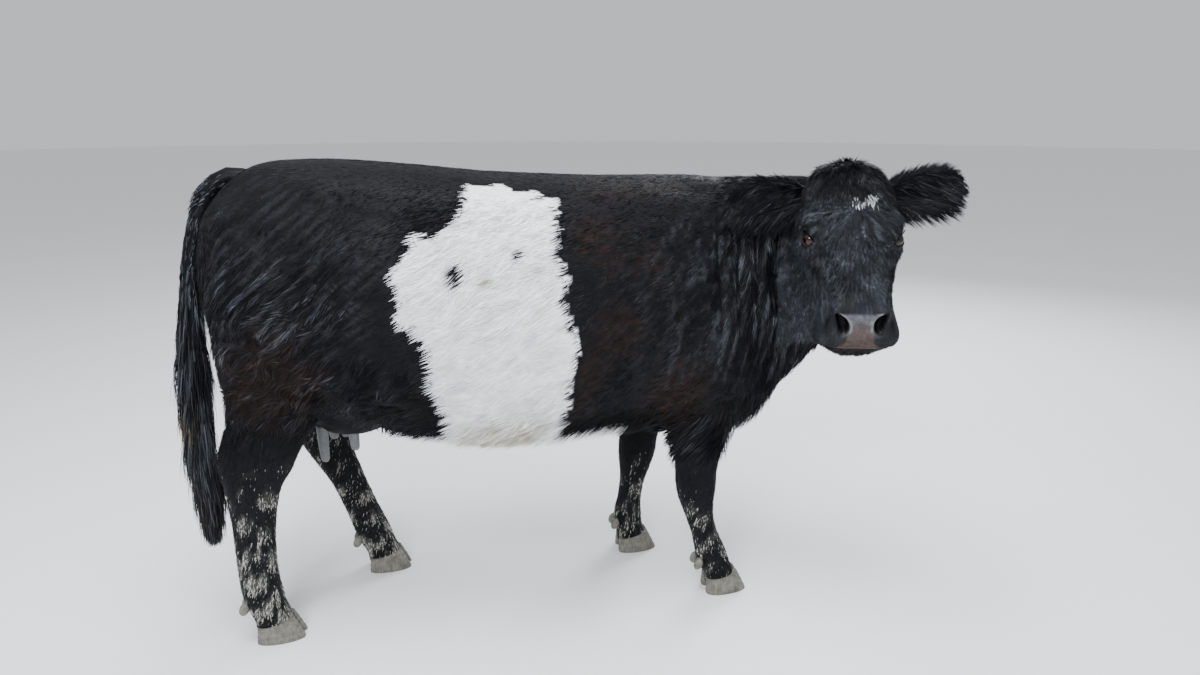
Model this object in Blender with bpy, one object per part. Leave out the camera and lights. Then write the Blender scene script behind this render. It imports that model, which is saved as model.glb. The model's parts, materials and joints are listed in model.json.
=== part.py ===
"""A life-size belted cow that stands and looks back over its right side. Metres, +X to the front, +Z up."""

import math
import random
from collections import namedtuple

import bmesh
import bpy
import numpy as np
from mathutils import Matrix, Vector
from mathutils.bvhtree import BVHTree

# Clearance that touching pieces keep.
GAP = 0.0003

# Heights and the places of the legs.
HIP_HEIGHT = 1.272
WITHERS_HEIGHT = 1.220
BELLY_HEIGHT = 0.484
BARREL_HALF_WIDTH = 0.345
HIND_TRACK = 0.168
FORE_TRACK = 0.150

# The head: where the poll is, which way it looks, and how far the nose points down.
POLL = Vector((0.883, -0.262, 1.240))
HEAD_HEADING = math.radians(-103)
HEAD_PITCH = math.radians(52)
HEAD_LENGTH = 0.462
EYE = Vector((0.184, 0.1095, -0.038))
EYE_RADIUS = 0.0185

# How fine the flesh is first made, and how many smoothing rounds blend its masses.
VOXEL = 0.008
BLEND_ROUNDS = 26

# Trunk: x, height of the back, height of the belly, half width, height of the widest place, squareness.
Slice = namedtuple("Slice", "x top bottom half widest square")
TRUNK = [
    Slice(-0.785, 1.065, 0.860, 0.088, 0.985, 2.0),
    Slice(-0.758, 1.135, 0.800, 0.138, 0.980, 2.2),
    Slice(-0.705, 1.212, 0.745, 0.186, 0.980, 2.4),
    Slice(-0.620, HIP_HEIGHT - 0.010, 0.680, 0.222, 0.960, 2.5),
    Slice(-0.500, HIP_HEIGHT, 0.610, 0.262, 0.930, 2.6),
    Slice(-0.380, HIP_HEIGHT - 0.004, 0.560, 0.290, 0.880, 2.6),
    Slice(-0.220, HIP_HEIGHT - 0.018, 0.512, 0.322, 0.830, 2.5),
    Slice(-0.050, HIP_HEIGHT - 0.036, BELLY_HEIGHT + 0.004, BARREL_HALF_WIDTH - 0.004, 0.805, 2.4),
    Slice(0.120, WITHERS_HEIGHT + 0.006, BELLY_HEIGHT, BARREL_HALF_WIDTH, 0.800, 2.3),
    Slice(0.280, WITHERS_HEIGHT, BELLY_HEIGHT + 0.006, 0.322, 0.805, 2.2),
    Slice(0.430, WITHERS_HEIGHT, BELLY_HEIGHT + 0.002, 0.282, 0.815, 2.1),
    Slice(0.560, WITHERS_HEIGHT - 0.004, BELLY_HEIGHT - 0.024, 0.250, 0.820, 2.0),
    Slice(0.670, WITHERS_HEIGHT - 0.030, BELLY_HEIGHT - 0.020, 0.212, 0.800, 2.0),
    Slice(0.755, 1.090, 0.520, 0.165, 0.780, 2.0),
    Slice(0.815, 0.960, 0.600, 0.100, 0.770, 2.0),
]

# Neck: centre, heading in degrees, rise to the crest, drop to the dewlap, half width.
NeckSlice = namedtuple("NeckSlice", "x y z heading rise drop half")
NECK = [
    NeckSlice(0.470, 0.000, 0.960, 0, 0.235, 0.330, 0.190),
    NeckSlice(0.620, 0.000, 0.975, -2, 0.236, 0.400, 0.172),
    NeckSlice(0.755, -0.010, 1.000, -14, 0.212, 0.440, 0.150),
    NeckSlice(0.852, -0.050, 1.025, -42, 0.190, 0.388, 0.134),
    NeckSlice(0.900, -0.120, 1.050, -76, 0.165, 0.295, 0.122),
    NeckSlice(0.905, -0.200, 1.070, -98, 0.142, 0.205, 0.112),
    NeckSlice(0.890, -0.262, 1.085, -103, 0.115, 0.165, 0.100),
]

# Head, from behind the poll to the lips: along, face line, jaw line, half width, level of the widest place.
HeadSlice = namedtuple("HeadSlice", "along face jaw half widest square")
HEAD = [
    HeadSlice(-0.046, -0.020, -0.130, 0.070, -0.085, 2.2),
    HeadSlice(-0.012, 0.018, -0.170, 0.098, -0.072, 2.3),
    HeadSlice(0.050, 0.030, -0.212, 0.122, -0.060, 2.4),
    HeadSlice(0.120, 0.022, -0.236, 0.132, -0.056, 2.5),
    HeadSlice(0.190, 0.008, -0.226, 0.129, -0.058, 2.5),
    HeadSlice(0.250, -0.004, -0.200, 0.114, -0.068, 2.4),
    HeadSlice(0.310, -0.014, -0.178, 0.100, -0.080, 2.4),
    HeadSlice(0.360, -0.020, -0.168, 0.097, -0.086, 2.4),
    HeadSlice(0.400, -0.024, -0.166, 0.104, -0.090, 2.4),
    HeadSlice(0.432, -0.038, -0.166, 0.105, -0.096, 2.3),
    HeadSlice(0.454, -0.062, -0.158, 0.090, -0.108, 2.2),
    HeadSlice(HEAD_LENGTH, -0.086, -0.138, 0.052, -0.112, 2.0),
]

# Legs, from the body to the hoof's top: x, height, half depth front to back, half width, share of the track.
LegSlice = namedtuple("LegSlice", "x z deep half track")
HIND_NEAR = [
    LegSlice(-0.500, 1.100, 0.190, 0.080, 0.80),
    LegSlice(-0.535, 0.950, 0.218, 0.108, 0.94),
    LegSlice(-0.568, 0.810, 0.188, 0.108, 1.00),
    LegSlice(-0.600, 0.700, 0.146, 0.086, 1.00),
    LegSlice(-0.636, 0.595, 0.106, 0.062, 1.00),
    LegSlice(-0.674, 0.500, 0.098, 0.052, 1.00),
    LegSlice(-0.683, 0.430, 0.074, 0.047, 1.00),
    LegSlice(-0.689, 0.330, 0.060, 0.043, 1.00),
    LegSlice(-0.691, 0.210, 0.056, 0.042, 1.00),
    LegSlice(-0.682, 0.120, 0.056, 0.047, 1.00),
    LegSlice(-0.668, 0.078, 0.050, 0.048, 1.00),
    LegSlice(-0.656, 0.030, 0.058, 0.050, 1.00),
]
HIND_FAR = [
    LegSlice(-0.490, 1.100, 0.190, 0.080, 0.80),
    LegSlice(-0.500, 0.950, 0.218, 0.108, 0.94),
    LegSlice(-0.500, 0.810, 0.188, 0.108, 1.00),
    LegSlice(-0.500, 0.700, 0.146, 0.086, 1.00),
    LegSlice(-0.512, 0.590, 0.104, 0.062, 1.00),
    LegSlice(-0.534, 0.480, 0.088, 0.050, 1.00),
    LegSlice(-0.520, 0.410, 0.068, 0.045, 1.00),
    LegSlice(-0.482, 0.320, 0.055, 0.041, 1.00),
    LegSlice(-0.442, 0.210, 0.052, 0.040, 1.00),
    LegSlice(-0.410, 0.120, 0.056, 0.047, 1.00),
    LegSlice(-0.392, 0.078, 0.050, 0.048, 1.00),
    LegSlice(-0.378, 0.030, 0.058, 0.050, 1.00),
]
FORE_NEAR = [
    LegSlice(0.480, 1.030, 0.130, 0.060, 1.02),
    LegSlice(0.515, 0.880, 0.148, 0.080, 1.12),
    LegSlice(0.540, 0.740, 0.140, 0.080, 1.14),
    LegSlice(0.538, 0.610, 0.115, 0.068, 1.10),
    LegSlice(0.530, 0.500, 0.088, 0.056, 1.06),
    LegSlice(0.525, 0.410, 0.068, 0.047, 1.02),
    LegSlice(0.526, 0.330, 0.063, 0.050, 1.00),
    LegSlice(0.536, 0.260, 0.048, 0.040, 1.00),
    LegSlice(0.554, 0.190, 0.042, 0.036, 1.00),
    LegSlice(0.578, 0.115, 0.050, 0.046, 1.00),
    LegSlice(0.594, 0.076, 0.046, 0.047, 1.00),
    LegSlice(0.608, 0.030, 0.056, 0.050, 1.00),
]
FORE_FAR = [
    LegSlice(0.460, 1.030, 0.130, 0.060, 1.02),
    LegSlice(0.485, 0.880, 0.148, 0.080, 1.12),
    LegSlice(0.490, 0.740, 0.140, 0.080, 1.14),
    LegSlice(0.470, 0.610, 0.115, 0.068, 1.10),
    LegSlice(0.446, 0.500, 0.088, 0.056, 1.06),
    LegSlice(0.428, 0.410, 0.068, 0.047, 1.02),
    LegSlice(0.418, 0.330, 0.063, 0.050, 1.00),
    LegSlice(0.408, 0.260, 0.048, 0.040, 1.00),
    LegSlice(0.398, 0.190, 0.042, 0.036, 1.00),
    LegSlice(0.390, 0.115, 0.050, 0.046, 1.00),
    LegSlice(0.396, 0.076, 0.046, 0.047, 1.00),
    LegSlice(0.406, 0.030, 0.056, 0.050, 1.00),
]
LEGS = {
    "hind_right": (HIND_NEAR, -HIND_TRACK),
    "hind_left": (HIND_FAR, HIND_TRACK),
    "fore_right": (FORE_NEAR, -FORE_TRACK),
    "fore_left": (FORE_FAR, FORE_TRACK),
}

# Forms raised or sunk in the flesh of the body: centre, reach along x, y and z, and how far out.
Form = namedtuple("Form", "x y z rx ry rz push")
BODY_FORMS = [
    Form(-0.440, 0.215, 1.215, 0.075, 0.060, 0.060, 0.022),
    Form(-0.290, 0.230, 1.130, 0.100, 0.090, 0.075, -0.022),
    Form(-0.715, 0.115, 1.120, 0.055, 0.050, 0.060, 0.016),
    Form(-0.640, 0.130, 1.220, 0.080, 0.060, 0.060, -0.012),
    Form(-0.430, 0.250, 0.760, 0.070, 0.090, 0.090, 0.016),
    Form(-0.330, 0.240, 0.640, 0.050, 0.080, 0.060, -0.018),
    Form(0.690, 0.150, 0.830, 0.075, 0.070, 0.085, 0.020),
    Form(0.430, 0.230, 0.640, 0.060, 0.060, 0.090, 0.010),
    Form(0.330, 0.260, 0.760, 0.050, 0.090, 0.160, -0.012),
    Form(0.500, 0.100, 1.190, 0.110, 0.050, 0.050, -0.008),
    Form(0.600, 0.200, 1.020, 0.060, 0.080, 0.120, -0.008),
]
# The same on each side of the head, in the head's own directions.
HEAD_FORMS = [
    Form(0.158, 0.116, -0.004, 0.034, 0.026, 0.024, 0.013),
    Form(0.197, 0.126, -0.064, 0.030, 0.024, 0.018, 0.006),
    Form(0.230, 0.098, -0.030, 0.026, 0.024, 0.024, -0.010),
    Form(0.092, 0.124, -0.046, 0.030, 0.024, 0.026, -0.007),
    Form(0.150, 0.108, -0.140, 0.060, 0.040, 0.050, 0.009),
    Form(0.320, 0.092, -0.090, 0.034, 0.030, 0.030, -0.006),
    Form(0.392, 0.058, -0.028, 0.018, 0.018, 0.018, 0.009),
    Form(0.420, 0.072, -0.096, 0.030, 0.030, 0.022, 0.007),
    Form(0.430, 0.030, -0.156, 0.026, 0.040, 0.018, 0.006),
]

# The udder: its middle and its reach along x, y and z.
UDDER_PLACE = Vector((-0.430, 0, 0.615))
UDDER_RADII = (0.150, 0.115, 0.105)
# Height at which the teats start, inside the udder.
TEAT_TOP = 0.545

# The foot: where the hooves' sloping top is, and how much it rises to the front.
CORONET_HEIGHT = 0.054
CORONET_SLOPE = 0.20
# How far a claw reaches before and behind the middle of the foot, and how far its toe slopes back to its top.
CLAW_TOE = 0.076
CLAW_HEEL = 0.050
CLAW_SLOPE = 0.031

# How many triangles the flesh keeps, whole, and as the head is cut from it.
BODY_TRIANGLES = 3900
HEAD_DETAIL_TRIANGLES = 11500

# Seams, where the flesh is parted into the pieces that a person would name.
HEAD_SEAM = Vector((0.905, -0.205, 1.110))
HEAD_SEAM_LEAN = math.radians(14)
HEAD_CELL_HALF = 0.165
LegCell = namedtuple("LegCell", "back front inner outer inner_top outer_top")
LEG_CELLS = {
    "hind_right": LegCell(-0.850, -0.375, 0.080, 0.420, 0.690, 0.860),
    "hind_left": LegCell(-0.850, -0.340, 0.080, 0.420, 0.690, 0.860),
    "fore_right": LegCell(0.390, 0.700, 0.070, 0.400, 0.540, 0.680),
    "fore_left": LegCell(0.320, 0.640, 0.070, 0.400, 0.540, 0.680),
}
# Height at which each leg is parted, above its hock or knee.
LEG_JOINT = {"hind": 0.520, "fore": 0.360}
UDDER_CORNERS = [
    Vector(c)
    for c in (
        (-0.600, -0.0795, 0.400), (-0.260, -0.0795, 0.400), (-0.260, 0.0795, 0.400), (-0.600, 0.0795, 0.400),
        (-0.600, -0.0795, 0.640), (-0.260, -0.0795, 0.570), (-0.260, 0.0795, 0.570), (-0.600, 0.0795, 0.640),
    )
]
NECK_CORNERS = [
    Vector(c)
    for c in (
        (0.740, -0.400, 0.400), (1.300, -0.400, 0.400), (1.300, 0.400, 0.400), (0.740, 0.400, 0.400),
        (0.600, -0.400, 1.500), (1.300, -0.400, 1.500), (1.300, 0.400, 1.500), (0.600, 0.400, 1.500),
    )
]


# The white belt: its outline seen from the side, as x and height. The strip along the back stays black.
BELT = [
    (-0.100, 1.206), (-0.005, 1.206), (0.065, 1.188), (0.127, 1.172), (0.119, 1.075), (0.136, 1.000),
    (0.125, 0.925), (0.152, 0.830), (0.143, 0.760), (0.132, 0.640), (0.130, 0.300), (-0.160, 0.300),
    (-0.165, 0.600), (-0.200, 0.710), (-0.207, 0.830), (-0.265, 0.885), (-0.285, 1.000), (-0.245, 1.070),
    (-0.215, 1.104), (-0.135, 1.130),
]
# Where the black strip over the belt is parted, between the rump and the chest.
BACK_SEAM = -0.050
RUMP_CORNERS = [
    Vector((x, y, z))
    for z in (0.20, 1.60)
    for x, y in ((-1.20, -0.60), (BACK_SEAM, -0.60), (BACK_SEAM, 0.60), (-1.20, 0.60))
]

# Eyelids: how far each stands from the middle of the eye, in degrees, and how thick it is.
LID_OPEN = {1: 35, -1: 33}
LID_THICK = 0.0062
# The mouth: its level, where its curve is centred, and how far it reaches forward and to each side.
MOUTH_LEVEL = -0.116
MOUTH_BACK = 0.350
MOUTH_REACH = 0.104
MOUTH_HALF = 0.095
# The nostrils: the middle of one in the head's directions, and its half length, half width and depth.
NOSTRIL = Vector((0.424, 0.046, -0.042))
NOSTRIL_RADII = (0.0195, 0.0100, 0.0210)

# Ears: root in the head's directions, the way to the tip and the way that the cup faces.
EAR_ROOT = Vector((0.036, 0.108, -0.066))
EAR_LENGTH = 0.205
EAR_THICK = 0.0065
EAR_DROOP = 0.004
EAR_TIP = {1: (-0.22, 1.0, 0.08), -1: (0.08, -1.0, 0.03)}
EAR_FACES = {1: (0.55, 0.10, 0.75), -1: (0.60, -0.05, 0.70)}
EAR_HALF_WIDTH = ((0.0, 0.2, 0.45, 0.7, 0.88, 1.0), (0.024, 0.037, 0.050, 0.046, 0.030, 0.010))
EAR_CUP = ((0.0, 0.25, 0.6, 1.0), (125, 88, 62, 45))

# How thick the tail is inside its long hair.
SWITCH_CORE = 0.024
# Tail: its line, half width and half depth, from inside the rump to the end of its hair.
TailSlice = namedtuple("TailSlice", "x y z half deep")
TAIL = [
    TailSlice(-0.630, 0.000, 1.215, 0.036, 0.030),
    TailSlice(-0.696, 0.000, 1.226, 0.034, 0.032),
    TailSlice(-0.748, -0.008, 1.186, 0.031, 0.032),
    TailSlice(-0.788, -0.020, 1.085, 0.029, 0.030),
    TailSlice(-0.812, -0.032, 0.950, 0.029, 0.030),
    TailSlice(-0.822, -0.040, 0.800, 0.029, 0.030),
    TailSlice(-0.828, -0.044, 0.650, SWITCH_CORE, SWITCH_CORE),
    TailSlice(-0.832, -0.046, 0.520, SWITCH_CORE, SWITCH_CORE),
    TailSlice(-0.824, -0.048, 0.410, 0.018, 0.018),
    TailSlice(-0.822, -0.050, 0.300, 0.006, 0.006),
]
TAIL_CORNERS = [
    Vector((x, y, z))
    for z in (0.10, 0.86)
    for x, y in ((-1.10, -0.30), (-0.70, -0.30), (-0.70, 0.20), (-1.10, 0.20))
]

# Teats: x, y and length.
TEATS = [(-0.512, -0.048, 0.095), (-0.430, -0.044, 0.068), (-0.495, 0.048, 0.066), (-0.462, 0.044, 0.060)]

# Locks of the long hair: length, half width and half thickness at their widest.
LockSize = namedtuple("LockSize", "length half thick")
BELLY_LOCK = LockSize(0.092, 0.031, 0.0070)
BRISKET_LOCK = LockSize(0.080, 0.024, 0.0060)
THIGH_LOCK = LockSize(0.092, 0.026, 0.0065)
ELBOW_LOCK = LockSize(0.060, 0.018, 0.0050)
POLL_LOCK = LockSize(0.070, 0.015, 0.0055)
EAR_LOCK = LockSize(0.058, 0.0135, 0.0028)
SWITCH_LOCK = LockSize(0.185, 0.023, 0.0075)
LOCK_SINK = 0.012
BELLY_STEP = 0.062
# How far to each side the rows of locks run under the belly, and under the flank, beside the udder.
BELLY_ROWS = (-0.262, -0.190, -0.070, 0.070, 0.190, 0.262)
FLANK_ROWS = (-0.262, -0.180, 0.180, 0.262)
# From where to where, along x, the rows of locks run under each piece of the trunk.
BELT_LOCKS = (-0.120, 0.120)
CHEST_LOCKS = (0.175, 0.300)
FLANK_LOCKS = (-0.235, -0.185)
# From which height to which, and how many, the locks hang down the back of the rump and of the thighs.
RUMP_LOCKS = (0.930, 1.050, 4)
THIGH_LOCKS = (0.650, 0.705, 4)
ELBOW_LOCK_HEIGHTS = (0.440, 0.465, 0.490)
# Where the lines start that meet the brisket where its locks are.
BRISKET_STARTS = [Vector((1.2, y, z)) for y, z in ((-0.04, 0.40), (0.04, 0.37), (-0.03, 0.30), (0.03, 0.27))]
# The seed of the locks' variety.
LOCK_SEED = 21

# Finishes: colour and roughness.
FINISHES = {
    "black_coat": ((0.012, 0.011, 0.012), 0.60),
    "white_coat": ((0.80, 0.79, 0.74), 0.70),
    "hoof": ((0.42, 0.39, 0.33), 0.55),
    "eye": ((0.020, 0.010, 0.008), 0.08),
    "teat": ((0.23, 0.22, 0.22), 0.55),
    "udder_skin": ((0.050, 0.042, 0.040), 0.60),
}


def smooth_rows(rows, steps):
    """The rows of numbers with steps - 1 more between each two, along one smooth curve."""
    rows = np.array(rows, float)
    padded = np.vstack([2 * rows[0] - rows[1], rows, 2 * rows[-1] - rows[-2]])
    found = []
    for i in range(len(rows) - 1):
        a, b, c, d = padded[i : i + 4]
        for k in range(steps):
            t = k / steps
            found.append(
                0.5
                * (2 * b + (c - a) * t + (2 * a - 5 * b + 4 * c - d) * t**2 + (3 * b - a - 3 * c + d) * t**3)
            )
    found.append(rows[-1])
    return found


def ring_points(centre, side, up, half, rise, drop, power, count):
    """A closed oval round centre, half wide along side, and rise above and drop below it along up."""
    points = []
    for k in range(count):
        angle = 2 * math.pi * k / count
        across = math.copysign(abs(math.cos(angle)) ** (2 / power), math.cos(angle))
        along = math.copysign(abs(math.sin(angle)) ** (2 / power), math.sin(angle))
        points.append(centre + side * half * across + up * (rise if along > 0 else drop) * along)
    return points


def loft(rings):
    """A bmesh that bridges the rings of points in turn and closes both ends."""
    bm = bmesh.new()
    loops = []
    for points in rings:
        verts = [bm.verts.new(p) for p in points]
        loops.append([bm.edges.new((verts[i - 1], verts[i])) for i in range(len(verts))])
    for first, second in zip(loops, loops[1:]):
        bmesh.ops.bridge_loops(bm, edges=first + second)
    for loop in (loops[0], loops[-1]):
        bmesh.ops.contextual_create(bm, geom=loop)
    bmesh.ops.recalc_face_normals(bm, faces=bm.faces)
    return bm


def object_of(bm, name):
    """A new object with the mesh of bm, in the scene."""
    mesh = bpy.data.meshes.new(name)
    bm.to_mesh(mesh)
    bm.free()
    obj = bpy.data.objects.new(name, mesh)
    bpy.context.scene.collection.objects.link(obj)
    return obj


def remove(*objects):
    for obj in objects:
        bpy.data.objects.remove(obj)


def settled(obj):
    """Puts the mesh that obj's modifiers make in place of its own, and drops the modifiers."""
    bpy.context.view_layer.update()
    graph = bpy.context.evaluated_depsgraph_get()
    mesh = bpy.data.meshes.new_from_object(obj.evaluated_get(graph))
    obj.modifiers.clear()
    obj.data = mesh
    return obj


def head_frame():
    """Turns the head's own directions, along the face, to its left and out of the face, into the world's."""
    flat = Vector((math.cos(HEAD_HEADING), math.sin(HEAD_HEADING), 0))
    along = flat * math.cos(HEAD_PITCH) - Vector((0, 0, math.sin(HEAD_PITCH)))
    out = flat * math.sin(HEAD_PITCH) + Vector((0, 0, math.cos(HEAD_PITCH)))
    left = out.cross(along)
    frame = Matrix((along, left, out)).transposed().to_4x4()
    frame.translation = POLL
    return frame


def trunk():
    rows = [Slice(*row) for row in smooth_rows(TRUNK, 3)]
    return loft(
        [
            ring_points(
                Vector((s.x, 0, s.widest)), Vector((0, 1, 0)), Vector((0, 0, 1)),
                s.half, s.top - s.widest, s.widest - s.bottom, s.square, 40,
            )
            for s in rows
        ]
    )


def neck():
    rings = []
    for row in smooth_rows(NECK, 4):
        s = NeckSlice(*row)
        heading = math.radians(s.heading)
        side = Vector((-math.sin(heading), math.cos(heading), 0))
        rings.append(
            ring_points(Vector((s.x, s.y, s.z)), side, Vector((0, 0, 1)), s.half, s.rise, s.drop, 2.0, 32)
        )
    return loft(rings)


def head():
    frame = head_frame()
    rings = []
    for row in smooth_rows(HEAD, 3):
        s = HeadSlice(*row)
        ring = ring_points(
            Vector((s.along, 0, s.widest)), Vector((0, 1, 0)), Vector((0, 0, 1)),
            s.half, s.face - s.widest, s.widest - s.jaw, s.square, 36,
        )
        rings.append([frame @ p for p in ring])
    return loft(rings)


def leg(rows, track):
    """A leg as one tube, each ring square to the leg's own line."""
    rows = [LegSlice(*row) for row in smooth_rows(rows, 3)]
    rings = []
    for i, s in enumerate(rows):
        before, after = rows[max(i - 1, 0)], rows[min(i + 1, len(rows) - 1)]
        lean = Vector((after.x - before.x, 0, after.z - before.z)).normalized()
        front = Vector((-lean.z, 0, lean.x))
        rings.append(
            ring_points(
                Vector((s.x, s.track * track, s.z)), Vector((0, 1, 0)), front, s.half, s.deep, s.deep, 2.2, 24
            )
        )
    return loft(rings)


def ball(centre, radii):
    """A ball stretched to three radii and put at centre."""
    bm = bmesh.new()
    bmesh.ops.create_uvsphere(bm, u_segments=20, v_segments=12, radius=1)
    place = Matrix.Translation(centre) @ Matrix.Diagonal((*radii, 1))
    bmesh.ops.transform(bm, matrix=place, verts=bm.verts)
    return bm


def pushed(mesh, forms, frame):
    """Raises or sinks each form of the list, on both sides, along the surface's own normals."""
    count = len(mesh.vertices)
    points, normals = np.empty(count * 3), np.empty(count * 3)
    mesh.vertices.foreach_get("co", points)
    mesh.vertices.foreach_get("normal", normals)
    points, normals = points.reshape(-1, 3), normals.reshape(-1, 3)
    inverse = np.array(frame.inverted())
    local = points @ inverse[:3, :3].T + inverse[:3, 3]
    move = np.zeros(count)
    for f in forms:
        for side in (1, -1):
            away = (local - (f.x, side * f.y, f.z)) / (f.rx, f.ry, f.rz)
            move += f.push * np.exp(-(away**2).sum(1))
    points += normals * move[:, None]
    mesh.vertices.foreach_set("co", points.ravel())
    mesh.update()


def flesh():
    """The whole body as one smooth closed mesh: trunk, neck, head, legs and udder, blended."""
    masses = [trunk(), neck(), head()]
    masses += [leg(*LEGS[name]) for name in LEGS]
    masses.append(ball(UDDER_PLACE, UDDER_RADII))
    bm = bmesh.new()
    for mass in masses:
        mesh = bpy.data.meshes.new("mass")
        mass.to_mesh(mesh)
        mass.free()
        bm.from_mesh(mesh)
        bpy.data.meshes.remove(mesh)
    body = object_of(bm, "flesh")
    grid = body.modifiers.new("one_surface", "REMESH")
    grid.mode = "VOXEL"
    grid.voxel_size = VOXEL
    blend = body.modifiers.new("blend", "SMOOTH")
    blend.factor = 0.5
    blend.iterations = BLEND_ROUNDS
    settled(body)
    pushed(body.data, BODY_FORMS, Matrix())
    pushed(body.data, HEAD_FORMS, head_frame())
    return body


def largest_part(obj):
    """Keeps the largest closed surface of the mesh and drops any scrap."""
    bm = bmesh.new()
    bm.from_mesh(obj.data)
    left = set(bm.verts)
    parts = []
    while left:
        part = set()
        edge = [left.pop()]
        while edge:
            vert = edge.pop()
            part.add(vert)
            near = [e.other_vert(vert) for e in vert.link_edges]
            edge += [v for v in near if v in left]
            left.difference_update(near)
        parts.append(part)
    main_part = max(parts, key=len)
    bmesh.ops.delete(bm, geom=[v for v in bm.verts if v not in main_part], context="VERTS")
    bm.to_mesh(obj.data)
    bm.free()
    return obj


def combined(obj, other, operation):
    """obj with other cut from it, kept of it or joined to it; other is used up."""
    step = obj.modifiers.new("combine", "BOOLEAN")
    step.operation = operation
    step.solver = "EXACT"
    step.object = other
    settled(obj)
    remove(other)
    return largest_part(obj)


def copy_of(obj, name):
    twin = bpy.data.objects.new(name, obj.data.copy())
    bpy.context.scene.collection.objects.link(twin)
    return twin


def swollen(obj):
    """A copy of obj, grown by the clearance along its normals, to cut a neighbour's seat with."""
    twin = copy_of(obj, obj.name + "_grown")
    grow = twin.modifiers.new("grow", "DISPLACE")
    grow.strength = GAP
    grow.mid_level = 0
    return settled(twin)


def seated(obj, base):
    """obj with the room that base takes cut from it, so that the two meet face to face."""
    return combined(obj, swollen(base), "DIFFERENCE")


def block(corners, grow):
    """The closed block between eight corners, four below in turn and four above, each side moved out by grow."""
    middle = sum(corners, Vector()) / 8
    sides = [(0, 1, 2, 3), (4, 5, 6, 7), (0, 1, 5, 4), (1, 2, 6, 5), (2, 3, 7, 6), (3, 0, 4, 7)]
    planes = []
    for side in sides:
        a, b, c, d = (corners[k] for k in side)
        normal = (c - a).cross(d - b).normalized()
        if normal.dot(a - middle) < 0:
            normal.negate()
        planes.append((normal, normal.dot((a + b + c + d) / 4) + grow))
    moved = []
    for k in range(8):
        three = [planes[n] for n, side in enumerate(sides) if k in side]
        moved.append(Matrix([normal for normal, _ in three]).inverted() @ Vector([far for _, far in three]))
    bm = bmesh.new()
    verts = [bm.verts.new(c) for c in moved]
    for side in sides:
        bm.faces.new([verts[k] for k in side])
    bmesh.ops.recalc_face_normals(bm, faces=bm.faces)
    return object_of(bm, "block")


def prism(outline, half, grow):
    """The closed solid that has the outline in x and z and runs across by half each way, its sides moved by grow."""
    count = len(outline)
    points = [Vector(p) for p in outline]
    moved = []
    for k in range(count):
        before, here, after = points[k - 1], points[k], points[(k + 1) % count]
        first = (here - before).normalized()
        second = (after - here).normalized()
        # The outline runs clockwise, so its outer side is to the left of each run.
        out_first, out_second = Vector((-first.y, first.x)), Vector((-second.y, second.x))
        spread = out_first + out_second
        moved.append(here + spread * grow * 2 / spread.length_squared)
    return object_of(loft([[Vector((p.x, y, p.y)) for p in moved] for y in (-half, half)]), "prism")


def thinned(obj, name, triangles):
    """A copy of obj with about that many triangles."""
    twin = copy_of(obj, name)
    faces = sum(len(p.vertices) - 2 for p in twin.data.polygons)
    thin = twin.modifiers.new("thin", "DECIMATE")
    thin.ratio = triangles / faces
    thin.use_collapse_triangulate = True
    return settled(twin)


def foot_plane(x, centre):
    """Height of the sloping top of the hooves at x, for a foot round centre."""
    return CORONET_HEIGHT + CORONET_SLOPE * (x - centre)


def leg_corners(name):
    """Corners of the block that holds a leg: down to its hooves and up to where it leaves the body."""
    rows, track = LEGS[name]
    cell = LEG_CELLS[name]
    side = math.copysign(1, track)
    centre = rows[-1].x
    low = [
        Vector((x, side * y, foot_plane(x, centre)))
        for x, y in (
            (cell.back, cell.inner), (cell.front, cell.inner), (cell.front, cell.outer), (cell.back, cell.outer)
        )
    ]
    high = [
        Vector((x, side * y, z))
        for x, y, z in (
            (cell.back, cell.inner, cell.inner_top), (cell.front, cell.inner, cell.inner_top),
            (cell.front, cell.outer, cell.outer_top), (cell.back, cell.outer, cell.outer_top),
        )
    ]
    return low + high


def shank_corners(name):
    """Corners of a block that holds all of a leg below its hock or knee."""
    x, y = LEGS[name][0][-1].x, LEGS[name][1]
    joint = LEG_JOINT[name[:4]]
    return [
        Vector((x + across, y + wide, z))
        for z in (0.0, joint)
        for across, wide in ((-0.35, -0.15), (0.35, -0.15), (0.35, 0.15), (-0.35, 0.15))
    ]


def head_corners():
    """Corners of the block that holds the head, from its seam with the neck."""
    flat = Vector((math.cos(HEAD_HEADING), math.sin(HEAD_HEADING), 0))
    side = Vector((-flat.y, flat.x, 0))
    lean = Vector((0, 0, -math.tan(HEAD_SEAM_LEAN)))
    found = []
    for z in (-0.60, 0.20):
        for back, across in ((0, -1), (1, -1), (1, 1), (0, 1)):
            reach = 0.60 if back else z * lean.z
            found.append(HEAD_SEAM + flat * reach + side * across * HEAD_CELL_HALF + Vector((0, 0, z)))
    return found


def cut_out(whole, name, detail, cutter):
    """The part of detail inside the cutter as a new object, with the same room cut from whole."""
    part = copy_of(detail, name)
    combined(part, cutter(-GAP / 2), "INTERSECT")
    combined(whole, cutter(GAP / 2), "DIFFERENCE")
    return part


def box_of(corners):
    return lambda grow: block(corners, grow)


def coloured(obj, finish):
    """Gives obj the named finish."""
    material = bpy.data.materials.get(finish)
    if material is None:
        colour, roughness = FINISHES[finish]
        material = bpy.data.materials.new(finish)
        material.use_nodes = True
        shader = material.node_tree.nodes["Principled BSDF"]
        shader.inputs["Base Color"].default_value = (*colour, 1)
        shader.inputs["Roughness"].default_value = roughness
        material.diffuse_color = (*colour, 1)
    obj.data.materials.clear()
    obj.data.materials.append(material)
    return obj


def eye_place(side):
    return head_frame() @ Vector((EYE.x, side * EYE.y, EYE.z))


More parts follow.
